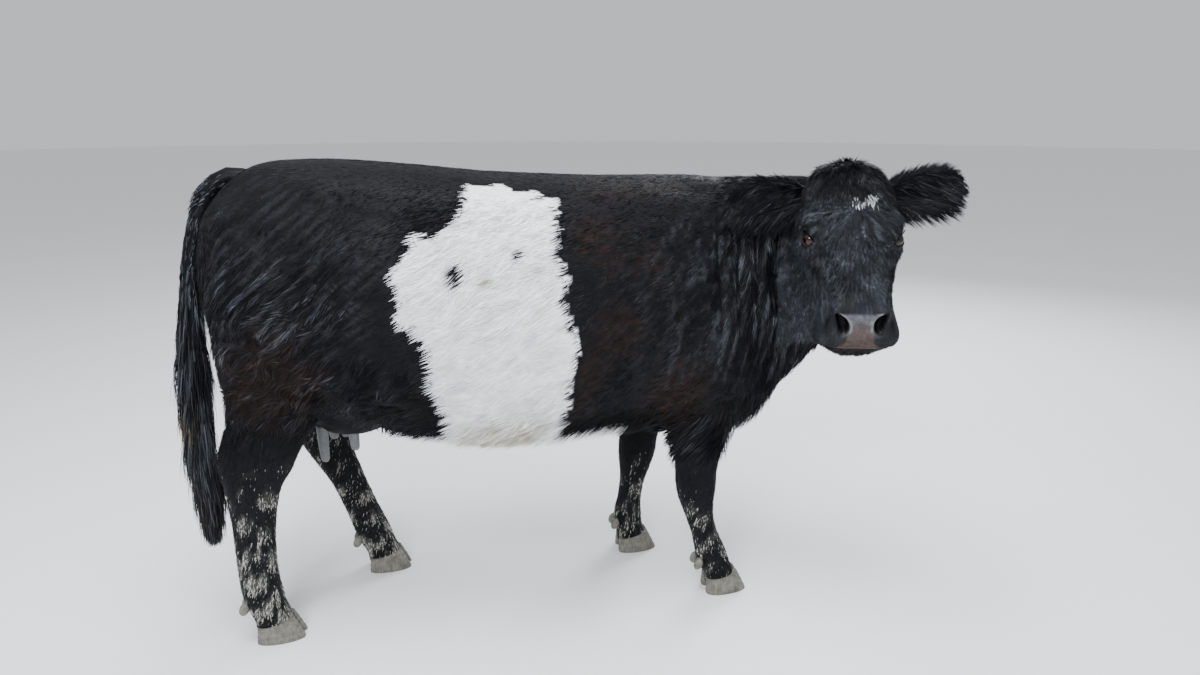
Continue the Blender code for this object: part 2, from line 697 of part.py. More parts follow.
def turned_ball(centre, axes, radii, segments=12, rings=8):
    """A ball stretched along three directions, put at centre."""
    bm = bmesh.new()
    bmesh.ops.create_uvsphere(bm, u_segments=segments, v_segments=rings, radius=1)
    place = Matrix([axes[i] * radii[i] for i in range(3)]).transposed().to_4x4()
    place.translation = centre
    bmesh.ops.transform(bm, matrix=place, verts=bm.verts)
    bmesh.ops.recalc_face_normals(bm, faces=bm.faces)
    return bm


def eye_axes(side):
    """Where an eye looks, the way along its opening and the way up across it, in the head's directions."""
    gaze = Vector((0.350, side * 0.782, 0.515)).normalized()
    long = Vector((0.805, -side * 0.533, 0.263)).normalized()
    across = gaze.cross(long).normalized()
    return gaze, long, across if across.z > 0 else -across


def lid(side, up):
    """One eyelid: a thin curved roll over the ball of the eye, from corner to corner."""
    frame = head_frame()
    centre = Vector((EYE.x, side * EYE.y, EYE.z))
    gaze, long, across = eye_axes(side)
    rings = []
    for k in range(9):
        turn = math.radians(-76 + 152 * k / 8)
        lift = math.radians(LID_OPEN[up]) * math.cos(turn) ** 0.8
        spoke = gaze * math.cos(turn) * math.cos(lift) + long * math.sin(turn) + across * math.sin(lift) * up
        spoke.normalize()
        thick = LID_THICK * (0.45 + 0.55 * math.cos(turn))
        away = (across * up - spoke * (across * up).dot(spoke)).normalized()
        rings.append(
            [
                frame @ (centre + spoke * (EYE_RADIUS + lift_out) + away * apart)
                for lift_out, apart in (
                    (-0.004, 0.0), (0.3 * thick, -0.3 * thick), (thick, 0.6 * thick), (-0.004, 2.2 * thick)
                )
            ]
        )
    return object_of(loft(rings), "lid")


def nostril(side):
    """The hollow of one nostril, a bent drop that slants up and outward."""
    frame = head_frame().to_3x3()
    inward = (frame @ Vector((-0.80, -side * 0.10, -0.58))).normalized()
    slant = (frame @ Vector((-0.46, side * 0.72, 0.50))).normalized()
    slant = (slant - inward * slant.dot(inward)).normalized()
    across = inward.cross(slant)
    centre = head_frame() @ Vector((NOSTRIL.x, side * NOSTRIL.y, NOSTRIL.z))
    return object_of(turned_ball(centre, (slant, across, inward), NOSTRIL_RADII), "nostril")


def mouth():
    """The thin slot between the lips, from one corner of the mouth round the front to the other."""
    frame = head_frame()
    rings = []
    for k in range(15):
        angle = math.radians(-90 + 180 * k / 14)
        c, s = math.cos(angle), math.sin(angle)
        c, s = c**0.8, math.copysign(abs(s) ** 0.8, s)
        level = MOUTH_LEVEL + 0.010 * c
        ring = []
        for reach, z in ((-0.011, 0), (0.022, 0.0022), (0.022, -0.0022)):
            ring.append(
                frame @ Vector((MOUTH_BACK + (MOUTH_REACH + reach) * c, (MOUTH_HALF + reach) * s, level + z))
            )
        rings.append(ring)
    return object_of(loft(rings), "mouth")


def ear_axes(side):
    """The ear's direction to its tip, the way its cup faces, and the direction across it."""
    frame = head_frame().to_3x3()
    tip = (frame @ Vector(EAR_TIP[side])).normalized()
    faces = frame @ Vector(EAR_FACES[side])
    faces = (faces - tip * faces.dot(tip)).normalized()
    return tip, faces, tip.cross(faces)


def ear_shape(side, share):
    """Place on the ear's mid line, half angle and radius of its cup, and its thickness, at a share of its length."""
    tip, faces, across = ear_axes(side)
    root = head_frame() @ Vector((EAR_ROOT.x, side * EAR_ROOT.y, EAR_ROOT.z))
    half = np.interp(share, *EAR_HALF_WIDTH)
    cup = math.radians(np.interp(share, *EAR_CUP))
    radius = half / math.sin(min(cup, math.pi / 2))
    place = root + tip * EAR_LENGTH * share - Vector((0, 0, EAR_DROOP * share**2))
    return place, cup, radius, EAR_THICK * (1.3 - 0.6 * share)


def ear(side, name):
    """A cupped leaf with a rolled root."""
    tip, faces, across = ear_axes(side)
    rings = []
    for k in range(9):
        place, cup, radius, thick = ear_shape(side, k / 8)
        ring = []
        for inner in (False, True):
            r = radius - thick if inner else radius
            for j in range(8):
                angle = cup * (j - 3.5) / 3.5 * (0.97 if inner else 1)
                ring.append(
                    place + across * r * math.sin(-angle if inner else angle)
                    - faces * (r * math.cos(angle) - radius * math.cos(cup))
                )
        rings.append(ring)
    return object_of(loft(rings), name)


def claw_outline(x_back, x_toe, inner, outer, side, count=12):
    """Plan of one claw: straight on its inner side, round at the heel, drawn to a blunt toe."""
    points = []
    for k in range(count):
        angle = 2 * math.pi * k / count
        c, s = math.cos(angle), math.sin(angle)
        x = (x_back + x_toe) / 2 + (x_toe - x_back) / 2 * math.copysign(abs(c) ** 0.75, c)
        share = (x - x_back) / (x_toe - x_back)
        width = (outer - inner) * (1 - 0.42 * share**3)
        y = inner + width * (0.5 + 0.5 * math.copysign(abs(s) ** (0.75 if s > 0 else 0.55), s))
        points.append((x, side * y))
    return points


def claw(leg_name, side, name):
    """One half of a cloven hoof, flat below, its top on the foot's sloping plane."""
    rows, track = LEGS[leg_name]
    centre = rows[-1].x
    rings = []
    for share in (0.0, 0.12, 0.55, 1.0):
        toe = centre + CLAW_TOE - CLAW_SLOPE * share
        back = centre - CLAW_HEEL + 0.004 * share - (0.003 if share == 0.12 else 0)
        bulge = 0.052 - 0.005 * share - (0.003 if share == 0.0 else 0)
        outline = claw_outline(back, toe, 0.0035, bulge, side)
        rings.append(
            [Vector((x, track + y, share * (foot_plane(x, centre) - GAP))) for x, y in outline]
        )
    return object_of(loft(rings), name)


def dewclaw(leg_name, side, name):
    """A small horn behind the fetlock, pointing down and back."""
    rows, track = LEGS[leg_name]
    fetlock = rows[-3]
    centre = Vector((fetlock.x - fetlock.deep + 0.006, track + side * 0.021, fetlock.z - 0.020))
    down = Vector((-0.45, 0, -1)).normalized()
    across = Vector((0, 1, 0))
    return object_of(turned_ball(centre, (across, across.cross(down), down), (0.012, 0.013, 0.019), 6, 5), name)


def surface_of(obj):
    """The surface of obj, to seat locks on."""
    corners = [tuple(v.co) for v in obj.data.vertices]
    faces = [tuple(p.vertices) for p in obj.data.polygons]
    return BVHTree.FromPolygons(corners, faces)


def lock(root, normal, lie, size, rng):
    """A flat tapered lock that leaves the surface at root along its lie and bends over to its tip."""
    length = size.length * rng.uniform(0.78, 1.15)
    along = (lie.normalized() + normal * 0.30).normalized()
    across = along.cross(normal).normalized()
    out = across.cross(along)
    sway = across * length * rng.uniform(-0.18, 0.18)
    half = size.half * rng.uniform(0.85, 1.15)
    bm = bmesh.new()
    rings = []
    for share, wide in ((0.0, 0.80), (0.34, 1.0), (0.70, 0.62)):
        place = root - normal * LOCK_SINK * (1 - share) + along * length * share
        place += sway * share**2 - out * length * 0.16 * share**2
        thick = size.thick * (1.1 - 0.5 * share)
        rings.append(
            [
                bm.verts.new(place + offset)
                for offset in (across * half * wide, out * thick, -across * half * wide, -out * thick)
            ]
        )
    tip = bm.verts.new(root + along * length + sway - out * length * 0.16)
    bm.faces.new(rings[0])
    for first, second in zip(rings, rings[1:]):
        for k in range(4):
            bm.faces.new((first[k - 1], first[k], second[k], second[k - 1]))
    for k in range(4):
        bm.faces.new((rings[-1][k - 1], rings[-1][k], tip))
    bmesh.ops.recalc_face_normals(bm, faces=bm.faces)
    return bm


def fused(node, locks):
    """node joined with all its locks as one closed body."""
    group = bpy.data.collections.new("locks")
    bpy.context.scene.collection.children.link(group)
    for bm in locks:
        piece = object_of(bm, "lock")
        bpy.context.scene.collection.objects.unlink(piece)
        group.objects.link(piece)
    step = node.modifiers.new("fuse", "BOOLEAN")
    step.operation = "UNION"
    step.solver = "EXACT"
    step.operand_type = "COLLECTION"
    step.collection = group
    settled(node)
    remove(*group.objects)
    bpy.data.collections.remove(group)
    return largest_part(node)


def seated_locks(node, starts, aim, lie, size, rng):
    """Locks where lines from the starts along aim meet the node."""
    tree = surface_of(node)
    locks = []
    for start in starts:
        place, normal, _, _ = tree.ray_cast(start, aim)
        if place is not None:
            turned = lie + Vector([rng.uniform(-0.22, 0.22) for _ in range(3)])
            locks.append(lock(place, normal, turned, size, rng))
    return locks


def belly_locks(node, back, front, rows, rng):
    """Rows of locks along the underside of the trunk, hanging down and back."""
    locks = []
    for row, y in enumerate(rows):
        count = max(1, round((front - back) / BELLY_STEP))
        starts = [
            Vector((back + (front - back) * (k + 0.5 + 0.2 * (row % 2)) / (count + 0.2), y, 0.0)) for k in range(count)
        ]
        lie = Vector((-1, 0.10 * math.copysign(1, y), -0.06))
        locks += seated_locks(node, starts, Vector((0, 0, 1)), lie, BELLY_LOCK, rng)
    return locks


def thigh_locks(node, track, low, high, count, rng):
    """A line of locks down the back of a thigh."""
    starts = [Vector((-1.1, track + 0.03 * (-1) ** k, low + (high - low) * k / (count - 1))) for k in range(count)]
    return seated_locks(node, starts, Vector((1, 0, 0)), Vector((-0.25, 0, -1)), THIGH_LOCK, rng)


def elbow_locks(node, name, rng):
    """Locks behind the top of a foreleg."""
    rows, track = LEGS[name]
    starts = [Vector((rows[4].x - 0.30, track * 1.05, z)) for z in ELBOW_LOCK_HEIGHTS]
    return seated_locks(node, starts, Vector((1, 0, 0)), Vector((-0.35, 0, -1)), ELBOW_LOCK, rng)


def front_locks(node, starts, rng):
    """Locks on the brisket."""
    return seated_locks(node, starts, Vector((-1, 0, 0.35)), Vector((-0.45, 0, -1)), BRISKET_LOCK, rng)


def poll_locks(node, rng):
    """The tuft on the poll, which parts in the middle and falls over the forehead."""
    frame = head_frame()
    turn = frame.to_3x3()
    tree = surface_of(node)
    locks = []
    for along, spread, count in ((-0.010, 0.062, 5), (0.022, 0.074, 6), (0.058, 0.064, 5)):
        for k in range(count):
            y = spread * (2 * k / (count - 1) - 1)
            start = frame @ Vector((along + rng.uniform(-0.006, 0.006), y, 0.20))
            place, normal, _, _ = tree.ray_cast(start, turn @ Vector((0, 0, -1)))
            lie = turn @ Vector((0.9, 9.0 * y, 0.10))
            locks.append(lock(place, normal, lie, POLL_LOCK, rng))
    return locks


def ear_locks(side, rng):
    """The fringe on both edges of an ear, longest below, and the hair in its cup."""
    tip, faces, across = ear_axes(side)
    below = across if across.z < 0 else -across
    locks = []
    for edge, reach, shares in (
        (below, 1.0, (0.18, 0.31, 0.44, 0.57, 0.70, 0.82, 0.93)), (-below, 0.5, (0.35, 0.60, 0.85)),
    ):
        for share in shares:
            place, cup, radius, thick = ear_shape(side, share)
            half = radius * math.sin(min(cup, math.pi / 2))
            root = place + edge * (half - 0.006) + faces * 0.002
            lie = edge * 0.80 + tip * 0.75 + faces * rng.uniform(-0.10, 0.20)
            size = EAR_LOCK._replace(length=EAR_LOCK.length * reach)
            locks.append(lock(root, faces, lie, size, rng))
    return locks


def switch_locks(rng):
    """The long hair of the tail's end, in rings that overlap to the tip."""
    rows = tail_rows()
    locks = []
    for ring, z in enumerate((0.835, 0.710, 0.585, 0.460)):
        near = min(range(len(rows)), key=lambda k: abs(rows[k].z - z))
        s = rows[near]
        for k in range(4):
            turn = 2 * math.pi * (k + 0.5 * (ring % 2)) / 4
            out = Vector((math.cos(turn), math.sin(turn), 0))
            root = Vector((s.x, s.y, z)) + out * (SWITCH_CORE * 0.8)
            locks.append(lock(root, out, Vector((0.02, -0.03, -1)) - out * 0.10, SWITCH_LOCK, rng))
    return locks


def tail_rows():
    return [TailSlice(*row) for row in smooth_rows(TAIL, 2)]


def tube_of(rows, count):
    """Rings round the rows' line, each square to it."""
    rings = []
    for i, s in enumerate(rows):
        before, after = rows[max(i - 1, 0)], rows[min(i + 1, len(rows) - 1)]
        run = Vector((after.x - before.x, after.y - before.y, after.z - before.z)).normalized()
        side = run.cross(Vector((1, 0, 0) if abs(run.x) < 0.9 else (0, 0, 1))).normalized()
        front = side.cross(run)
        rings.append(
            ring_points(Vector((s.x, s.y, s.z)), side, front, s.half, s.deep, s.deep, 2.0, count)
        )
    return rings


def teat(x, y, length, name):
    """A teat, hanging from the udder."""
    rows = [
        TailSlice(x, y, TEAT_TOP, 0.016, 0.016),
        TailSlice(x, y, TEAT_TOP - 0.45 * length, 0.0145, 0.0145),
        TailSlice(x + 0.002, y * 1.03, TEAT_TOP - 0.85 * length, 0.012, 0.012),
        TailSlice(x + 0.003, y * 1.04, TEAT_TOP - length, 0.006, 0.006),
    ]
    return object_of(loft(tube_of([TailSlice(*r) for r in smooth_rows(rows, 2)], 7)), name)


def placed_on_floor():
    """Shades the nodes and hangs them on one empty, which puts the middle of the whole at the origin."""
    nodes = list(bpy.data.objects)
    corners = [obj.matrix_world @ Vector(c) for obj in nodes for c in obj.bound_box]
    middle = [(min(c[i] for c in corners) + max(c[i] for c in corners)) / 2 for i in range(2)]
    cow = bpy.data.objects.new("cow", None)
    bpy.context.scene.collection.objects.link(cow)
    cow.location = (-middle[0], -middle[1], 0)
    for obj in nodes:
        obj.parent = cow
        obj.data.shade_smooth()
        obj.data.set_sharp_from_angle(angle=math.radians(50))


def clear_scene():
    for obj in list(bpy.data.objects):
        bpy.data.objects.remove(obj)


def main():
    clear_scene()
    rng = random.Random(LOCK_SEED)
    body = flesh()
    coarse = thinned(body, "coarse", BODY_TRIANGLES)
    fine = thinned(body, "fine", HEAD_DETAIL_TRIANGLES)
    remove(body)
    whole = copy_of(coarse, "chest")

    head_node = cut_out(whole, "head", fine, box_of(head_corners()))
    neck_node = cut_out(whole, "neck", whole, box_of(NECK_CORNERS))
    udder_node = cut_out(whole, "udder", whole, box_of(UDDER_CORNERS))
    legs = {name: cut_out(whole, name + "_thigh", whole, box_of(leg_corners(name))) for name in LEGS}
    belt = cut_out(whole, "belt", whole, lambda grow: prism(BELT, 0.60, grow))
    rump = cut_out(whole, "rump", whole, box_of(RUMP_CORNERS))
    remove(coarse, fine)

    for side in (-1, 1):
        for up in (-1, 1):
            combined(head_node, lid(side, up), "UNION")
        combined(head_node, nostril(side), "DIFFERENCE")
    combined(head_node, mouth(), "DIFFERENCE")
    for side, label in ((-1, "right"), (1, "left")):
        eye = object_of(turned_ball(eye_place(side), Matrix.Identity(3), [EYE_RADIUS] * 3, 12, 7), "eye_" + label)
        combined(head_node, swollen(eye), "DIFFERENCE")
        coloured(eye, "eye")
    fused(head_node, poll_locks(head_node, rng))
    for side, label in ((-1, "right"), (1, "left")):
        ear_node = fused(ear(side, "ear_" + label), ear_locks(side, rng))
        coloured(seated(ear_node, head_node), "black_coat")

    fused(belt, belly_locks(belt, *BELT_LOCKS, BELLY_ROWS, rng))
    fused(whole, belly_locks(whole, *CHEST_LOCKS, BELLY_ROWS, rng) + front_locks(whole, BRISKET_STARTS, rng))
    rump_locks = belly_locks(rump, *FLANK_LOCKS, FLANK_ROWS, rng)
    for side in (-1, 1):
        rump_locks += thigh_locks(rump, side * HIND_TRACK, *RUMP_LOCKS, rng)
    fused(rump, rump_locks)
    for name, leg_node in legs.items():
        track = LEGS[name][1]
        shank = cut_out(leg_node, name + "_shank", leg_node, box_of(shank_corners(name)))
        if name.startswith("hind"):
            fused(leg_node, thigh_locks(leg_node, track, *THIGH_LOCKS, rng))
        else:
            fused(leg_node, elbow_locks(leg_node, name, rng))
        coloured(leg_node, "black_coat")
        coloured(shank, "black_coat")
        for side, label in ((-1, "right"), (1, "left")):
            coloured(claw(name, side, f"{name}_claw_{label}"), "hoof")
            coloured(seated(dewclaw(name, side, f"{name}_dewclaw_{label}"), shank), "hoof")

    for i, (x, y, length) in enumerate(TEATS):
        coloured(seated(teat(x, y, length, f"teat_{i + 1}"), udder_node), "teat")

    tail = seated(object_of(loft(tube_of(tail_rows(), 10)), "tail"), rump)
    switch = cut_out(tail, "tail_switch", tail, box_of(TAIL_CORNERS))
    coloured(fused(switch, switch_locks(rng)), "black_coat")
    coloured(tail, "black_coat")

    for node in (head_node, neck_node, rump, whole):
        coloured(node, "black_coat")
    coloured(udder_node, "udder_skin")
    coloured(belt, "white_coat")
    placed_on_floor()


main()
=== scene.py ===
"""A life-size belted cow with its skin, coat, eyes, horn and light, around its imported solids."""

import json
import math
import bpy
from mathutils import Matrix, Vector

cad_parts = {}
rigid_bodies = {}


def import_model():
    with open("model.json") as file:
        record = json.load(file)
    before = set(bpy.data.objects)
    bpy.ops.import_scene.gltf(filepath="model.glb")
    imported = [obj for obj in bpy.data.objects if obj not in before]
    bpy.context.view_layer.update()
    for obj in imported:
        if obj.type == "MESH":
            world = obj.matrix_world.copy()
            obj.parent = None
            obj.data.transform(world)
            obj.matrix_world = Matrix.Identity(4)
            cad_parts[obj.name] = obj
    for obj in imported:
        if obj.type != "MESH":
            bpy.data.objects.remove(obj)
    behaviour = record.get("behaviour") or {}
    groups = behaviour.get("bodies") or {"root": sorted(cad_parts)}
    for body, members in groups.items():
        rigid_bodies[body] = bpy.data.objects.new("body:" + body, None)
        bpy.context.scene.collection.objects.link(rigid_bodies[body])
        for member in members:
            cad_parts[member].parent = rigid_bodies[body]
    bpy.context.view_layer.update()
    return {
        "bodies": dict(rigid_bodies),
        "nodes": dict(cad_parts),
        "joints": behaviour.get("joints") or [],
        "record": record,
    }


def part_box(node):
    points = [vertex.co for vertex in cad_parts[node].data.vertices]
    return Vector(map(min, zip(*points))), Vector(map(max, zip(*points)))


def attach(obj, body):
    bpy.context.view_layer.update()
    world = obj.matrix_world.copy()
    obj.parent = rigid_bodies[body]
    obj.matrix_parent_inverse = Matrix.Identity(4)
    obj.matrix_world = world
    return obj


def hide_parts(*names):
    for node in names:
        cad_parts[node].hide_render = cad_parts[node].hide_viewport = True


bl_info = {
    "name": "Belted Cow",
    "version": (1, 0, 0),
    "blender": (4, 5, 0),
    "location": "View3D > Sidebar > Cow",
    "description": "Builds the skin, coat, eyes, ears, tail, hooves and stage of a standing belted cow",
    "category": "Add Mesh",
}

from collections import namedtuple

import bmesh
import bpy
import numpy as np
from mathutils import Matrix, Vector
from mathutils.kdtree import KDTree

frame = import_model()

# Heights, the barrel's half width, and how far the legs stand from the middle.
HIP_HEIGHT = 1.272
WITHERS_HEIGHT = 1.220
BELLY_HEIGHT = 0.484
BARREL_HALF_WIDTH = 0.345
HIND_TRACK = 0.168
FORE_TRACK = 0.150

# The head: where the poll is, which way it looks, how far the nose points down, and how long it is.
POLL = Vector((0.883, -0.262, 1.240))
HEAD_HEADING = math.radians(-103)
HEAD_PITCH = math.radians(52)
HEAD_LENGTH = 0.462
# The left eye, in the head's own directions: along the face, to its left and out of the face.
EYE = Vector((0.184, 0.1095, -0.038))
EYE_RADIUS = 0.0185
# Where the left eye looks, and the way along its opening, in the head's directions.
EYE_GAZE = (0.350, 0.782, 0.515)
EYE_LONG = (0.805, -0.533, 0.263)
# The head's part of the skin: half width, lowest height, rearmost x, and how the line behind the jaws slopes.
HEAD_ZONE_HALF = 0.16
HEAD_ZONE_LOW = 0.74
HEAD_ZONE_REAR = 0.735
JAW_SLOPE = 0.55
# The skin's mesh is finer on the head, and finest by the eyes and on the muzzle: how far these zones reach,
# in the head's directions, and where the part of the face starts that is cut for eyes, nose and mouth.
FINE_BACK = -0.06
FINE_HALF = 0.15
FINE_DEEP = -0.30
FINE_BY_EYE = 0.046
MUZZLE_BACK = 0.372
MUZZLE_DEEP = -0.22
FACE_BACK = 0.10
# The socket: its wall's clearance of the ball, its floor as a share of the ball's radius, and its reach.
SOCKET_CLEARANCE = 0.0026
SOCKET_FLOOR = 0.78
SOCKET_REACH = 0.034
# The distance that stands for places which a feature of the head doesn't reach.
FAR_OFF = 9.0

# Trunk: x, height of the back, height of the belly, half width, height of the widest place, squareness.
Slice = namedtuple("Slice", "x top bottom half widest square")
TRUNK = [
    Slice(-0.785, 1.065, 0.860, 0.088, 0.985, 2.0),
    Slice(-0.758, 1.135, 0.800, 0.138, 0.980, 2.2),
    Slice(-0.705, 1.212, 0.745, 0.186, 0.980, 2.4),
    Slice(-0.620, HIP_HEIGHT - 0.010, 0.680, 0.222, 0.960, 2.5),
    Slice(-0.500, HIP_HEIGHT, 0.610, 0.262, 0.930, 2.6),
    Slice(-0.380, HIP_HEIGHT - 0.004, 0.560, 0.290, 0.880, 2.6),
    Slice(-0.220, HIP_HEIGHT - 0.018, 0.512, 0.322, 0.830, 2.5),
    Slice(-0.050, HIP_HEIGHT - 0.036, BELLY_HEIGHT + 0.004, BARREL_HALF_WIDTH - 0.004, 0.805, 2.4),
    Slice(0.120, WITHERS_HEIGHT + 0.006, BELLY_HEIGHT, BARREL_HALF_WIDTH, 0.800, 2.3),
    Slice(0.280, WITHERS_HEIGHT, BELLY_HEIGHT + 0.006, 0.322, 0.805, 2.2),
    Slice(0.430, WITHERS_HEIGHT, BELLY_HEIGHT + 0.002, 0.282, 0.815, 2.1),
    Slice(0.560, WITHERS_HEIGHT - 0.004, BELLY_HEIGHT - 0.024, 0.250, 0.820, 2.0),
    Slice(0.670, WITHERS_HEIGHT - 0.030, BELLY_HEIGHT - 0.020, 0.212, 0.800, 2.0),
    Slice(0.755, 1.090, 0.520, 0.165, 0.780, 2.0),
    Slice(0.815, 0.960, 0.600, 0.100, 0.770, 2.0),
]

# Neck: centre, heading in degrees, rise to the crest, drop to the dewlap, half width.
NeckSlice = namedtuple("NeckSlice", "x y z heading rise drop half")
NECK = [
    NeckSlice(0.470, 0.000, 0.960, 0, 0.235, 0.330, 0.190),
    NeckSlice(0.620, 0.000, 0.975, -2, 0.236, 0.400, 0.172),
    NeckSlice(0.755, -0.010, 1.000, -14, 0.212, 0.440, 0.150),
    NeckSlice(0.852, -0.050, 1.025, -42, 0.190, 0.388, 0.134),
    NeckSlice(0.900, -0.120, 1.050, -76, 0.165, 0.295, 0.122),
    NeckSlice(0.905, -0.200, 1.070, -98, 0.142, 0.205, 0.112),
    NeckSlice(0.890, -0.262, 1.085, -103, 0.115, 0.165, 0.100),
]

# Head, from behind the poll to the lips: along, face line, jaw line, half width, widest level, squareness.
HeadSlice = namedtuple("HeadSlice", "along face jaw half widest square")
HEAD = [
    HeadSlice(-0.046, -0.020, -0.130, 0.070, -0.085, 2.2),
    HeadSlice(-0.012, 0.018, -0.170, 0.098, -0.072, 2.3),
    HeadSlice(0.050, 0.030, -0.212, 0.122, -0.060, 2.4),
    HeadSlice(0.120, 0.022, -0.236, 0.132, -0.056, 2.5),
    HeadSlice(0.190, 0.008, -0.226, 0.129, -0.058, 2.5),
    HeadSlice(0.250, -0.004, -0.200, 0.114, -0.068, 2.4),
    HeadSlice(0.310, -0.014, -0.178, 0.100, -0.080, 2.4),
    HeadSlice(0.360, -0.020, -0.168, 0.097, -0.086, 2.4),
    HeadSlice(0.400, -0.024, -0.166, 0.104, -0.090, 2.4),
    HeadSlice(0.432, -0.038, -0.166, 0.105, -0.096, 2.3),
    HeadSlice(0.454, -0.062, -0.158, 0.090, -0.108, 2.2),
    HeadSlice(HEAD_LENGTH, -0.086, -0.138, 0.052, -0.112, 2.0),
]

# Legs, from the body to the hoof's top: x, height, half depth, half width, share of the track.
LegSlice = namedtuple("LegSlice", "x z deep half track")
HIND_NEAR = [
    LegSlice(-0.500, 1.100, 0.190, 0.080, 0.80),
    LegSlice(-0.535, 0.950, 0.218, 0.108, 0.94),
    LegSlice(-0.568, 0.810, 0.188, 0.108, 1.00),
    LegSlice(-0.600, 0.700, 0.146, 0.086, 1.00),
    LegSlice(-0.636, 0.595, 0.106, 0.062, 1.00),
    LegSlice(-0.674, 0.500, 0.098, 0.052, 1.00),
    LegSlice(-0.683, 0.430, 0.074, 0.047, 1.00),
    LegSlice(-0.689, 0.330, 0.060, 0.043, 1.00),
    LegSlice(-0.691, 0.210, 0.056, 0.042, 1.00),
    LegSlice(-0.682, 0.120, 0.056, 0.047, 1.00),
    LegSlice(-0.668, 0.078, 0.050, 0.048, 1.00),
    LegSlice(-0.656, 0.030, 0.058, 0.050, 1.00),
]
HIND_FAR = [
    LegSlice(-0.490, 1.100, 0.190, 0.080, 0.80),
    LegSlice(-0.500, 0.950, 0.218, 0.108, 0.94),
    LegSlice(-0.500, 0.810, 0.188, 0.108, 1.00),
    LegSlice(-0.500, 0.700, 0.146, 0.086, 1.00),
    LegSlice(-0.512, 0.590, 0.104, 0.062, 1.00),
    LegSlice(-0.534, 0.480, 0.088, 0.050, 1.00),
    LegSlice(-0.520, 0.410, 0.068, 0.045, 1.00),
    LegSlice(-0.482, 0.320, 0.055, 0.041, 1.00),
    LegSlice(-0.442, 0.210, 0.052, 0.040, 1.00),
    LegSlice(-0.410, 0.120, 0.056, 0.047, 1.00),
    LegSlice(-0.392, 0.078, 0.050, 0.048, 1.00),
    LegSlice(-0.378, 0.030, 0.058, 0.050, 1.00),
]
FORE_NEAR = [
    LegSlice(0.480, 1.030, 0.130, 0.060, 1.02),
    LegSlice(0.515, 0.880, 0.148, 0.080, 1.12),
    LegSlice(0.540, 0.740, 0.140, 0.080, 1.14),
    LegSlice(0.538, 0.610, 0.115, 0.068, 1.10),
    LegSlice(0.530, 0.500, 0.088, 0.056, 1.06),
    LegSlice(0.525, 0.410, 0.068, 0.047, 1.02),
    LegSlice(0.526, 0.330, 0.063, 0.050, 1.00),
    LegSlice(0.536, 0.260, 0.048, 0.040, 1.00),
    LegSlice(0.554, 0.190, 0.042, 0.036, 1.00),
    LegSlice(0.578, 0.115, 0.050, 0.046, 1.00),
    LegSlice(0.594, 0.076, 0.046, 0.047, 1.00),
    LegSlice(0.608, 0.030, 0.056, 0.050, 1.00),
]
# The far fore leg is the near one with a line of its own: its x at the same heights.
FORE_FAR_X = (0.460, 0.485, 0.490, 0.470, 0.446, 0.428, 0.418, 0.408, 0.398, 0.390, 0.396, 0.406)
FORE_FAR = [s._replace(x=x) for s, x in zip(FORE_NEAR, FORE_FAR_X)]
LEGS = {
    "hind_right": (HIND_NEAR, -HIND_TRACK),
    "hind_left": (HIND_FAR, HIND_TRACK),
    "fore_right": (FORE_NEAR, -FORE_TRACK),
    "fore_left": (FORE_FAR, FORE_TRACK),
}

# Forms raised or sunk in the flesh of the body: centre, reach along x, y and z, and how far out.
Form = namedtuple("Form", "x y z rx ry rz push")
BODY_FORMS = [
    Form(-0.440, 0.215, 1.215, 0.075, 0.060, 0.060, 0.022),  # hook bone
    Form(-0.290, 0.230, 1.130, 0.100, 0.090, 0.075, -0.022),  # hollow of the flank
    Form(-0.715, 0.115, 1.120, 0.055, 0.050, 0.060, 0.016),  # pin bone
    Form(-0.640, 0.130, 1.220, 0.080, 0.060, 0.060, -0.012),  # hollow beside the tail's root
    Form(-0.430, 0.250, 0.760, 0.070, 0.090, 0.090, 0.016),  # stifle
    Form(-0.330, 0.240, 0.640, 0.050, 0.080, 0.060, -0.018),  # fold before the stifle
    Form(0.690, 0.150, 0.830, 0.075, 0.070, 0.085, 0.020),  # point of the shoulder
    Form(0.430, 0.230, 0.640, 0.060, 0.060, 0.090, 0.010),  # elbow
    Form(0.330, 0.260, 0.760, 0.050, 0.090, 0.160, -0.012),  # hollow behind the shoulder
    Form(0.500, 0.100, 1.190, 0.110, 0.050, 0.050, -0.008),  # beside the withers
    Form(0.600, 0.200, 1.020, 0.060, 0.080, 0.120, -0.008),  # before the shoulder blade
]
# The same on each side of the head, in the head's own directions.
HEAD_FORMS = [
    Form(0.158, 0.116, -0.004, 0.034, 0.026, 0.024, 0.013),  # brow
    Form(0.197, 0.126, -0.064, 0.030, 0.024, 0.018, 0.006),  # cheekbone
    Form(0.230, 0.098, -0.030, 0.026, 0.024, 0.024, -0.010),  # hollow before the eye
    Form(0.092, 0.124, -0.046, 0.030, 0.024, 0.026, -0.007),  # temple
    Form(0.150, 0.108, -0.140, 0.060, 0.040, 0.050, 0.009),  # muscle of the jaw
    Form(0.320, 0.092, -0.090, 0.034, 0.030, 0.030, -0.006),  # hollow of the cheek
    Form(0.392, 0.058, -0.028, 0.018, 0.018, 0.018, 0.009),  # wing of the nostril
    Form(0.420, 0.072, -0.096, 0.030, 0.030, 0.022, 0.007),  # upper lip
    Form(0.430, 0.030, -0.156, 0.026, 0.040, 0.018, 0.006),  # chin
]

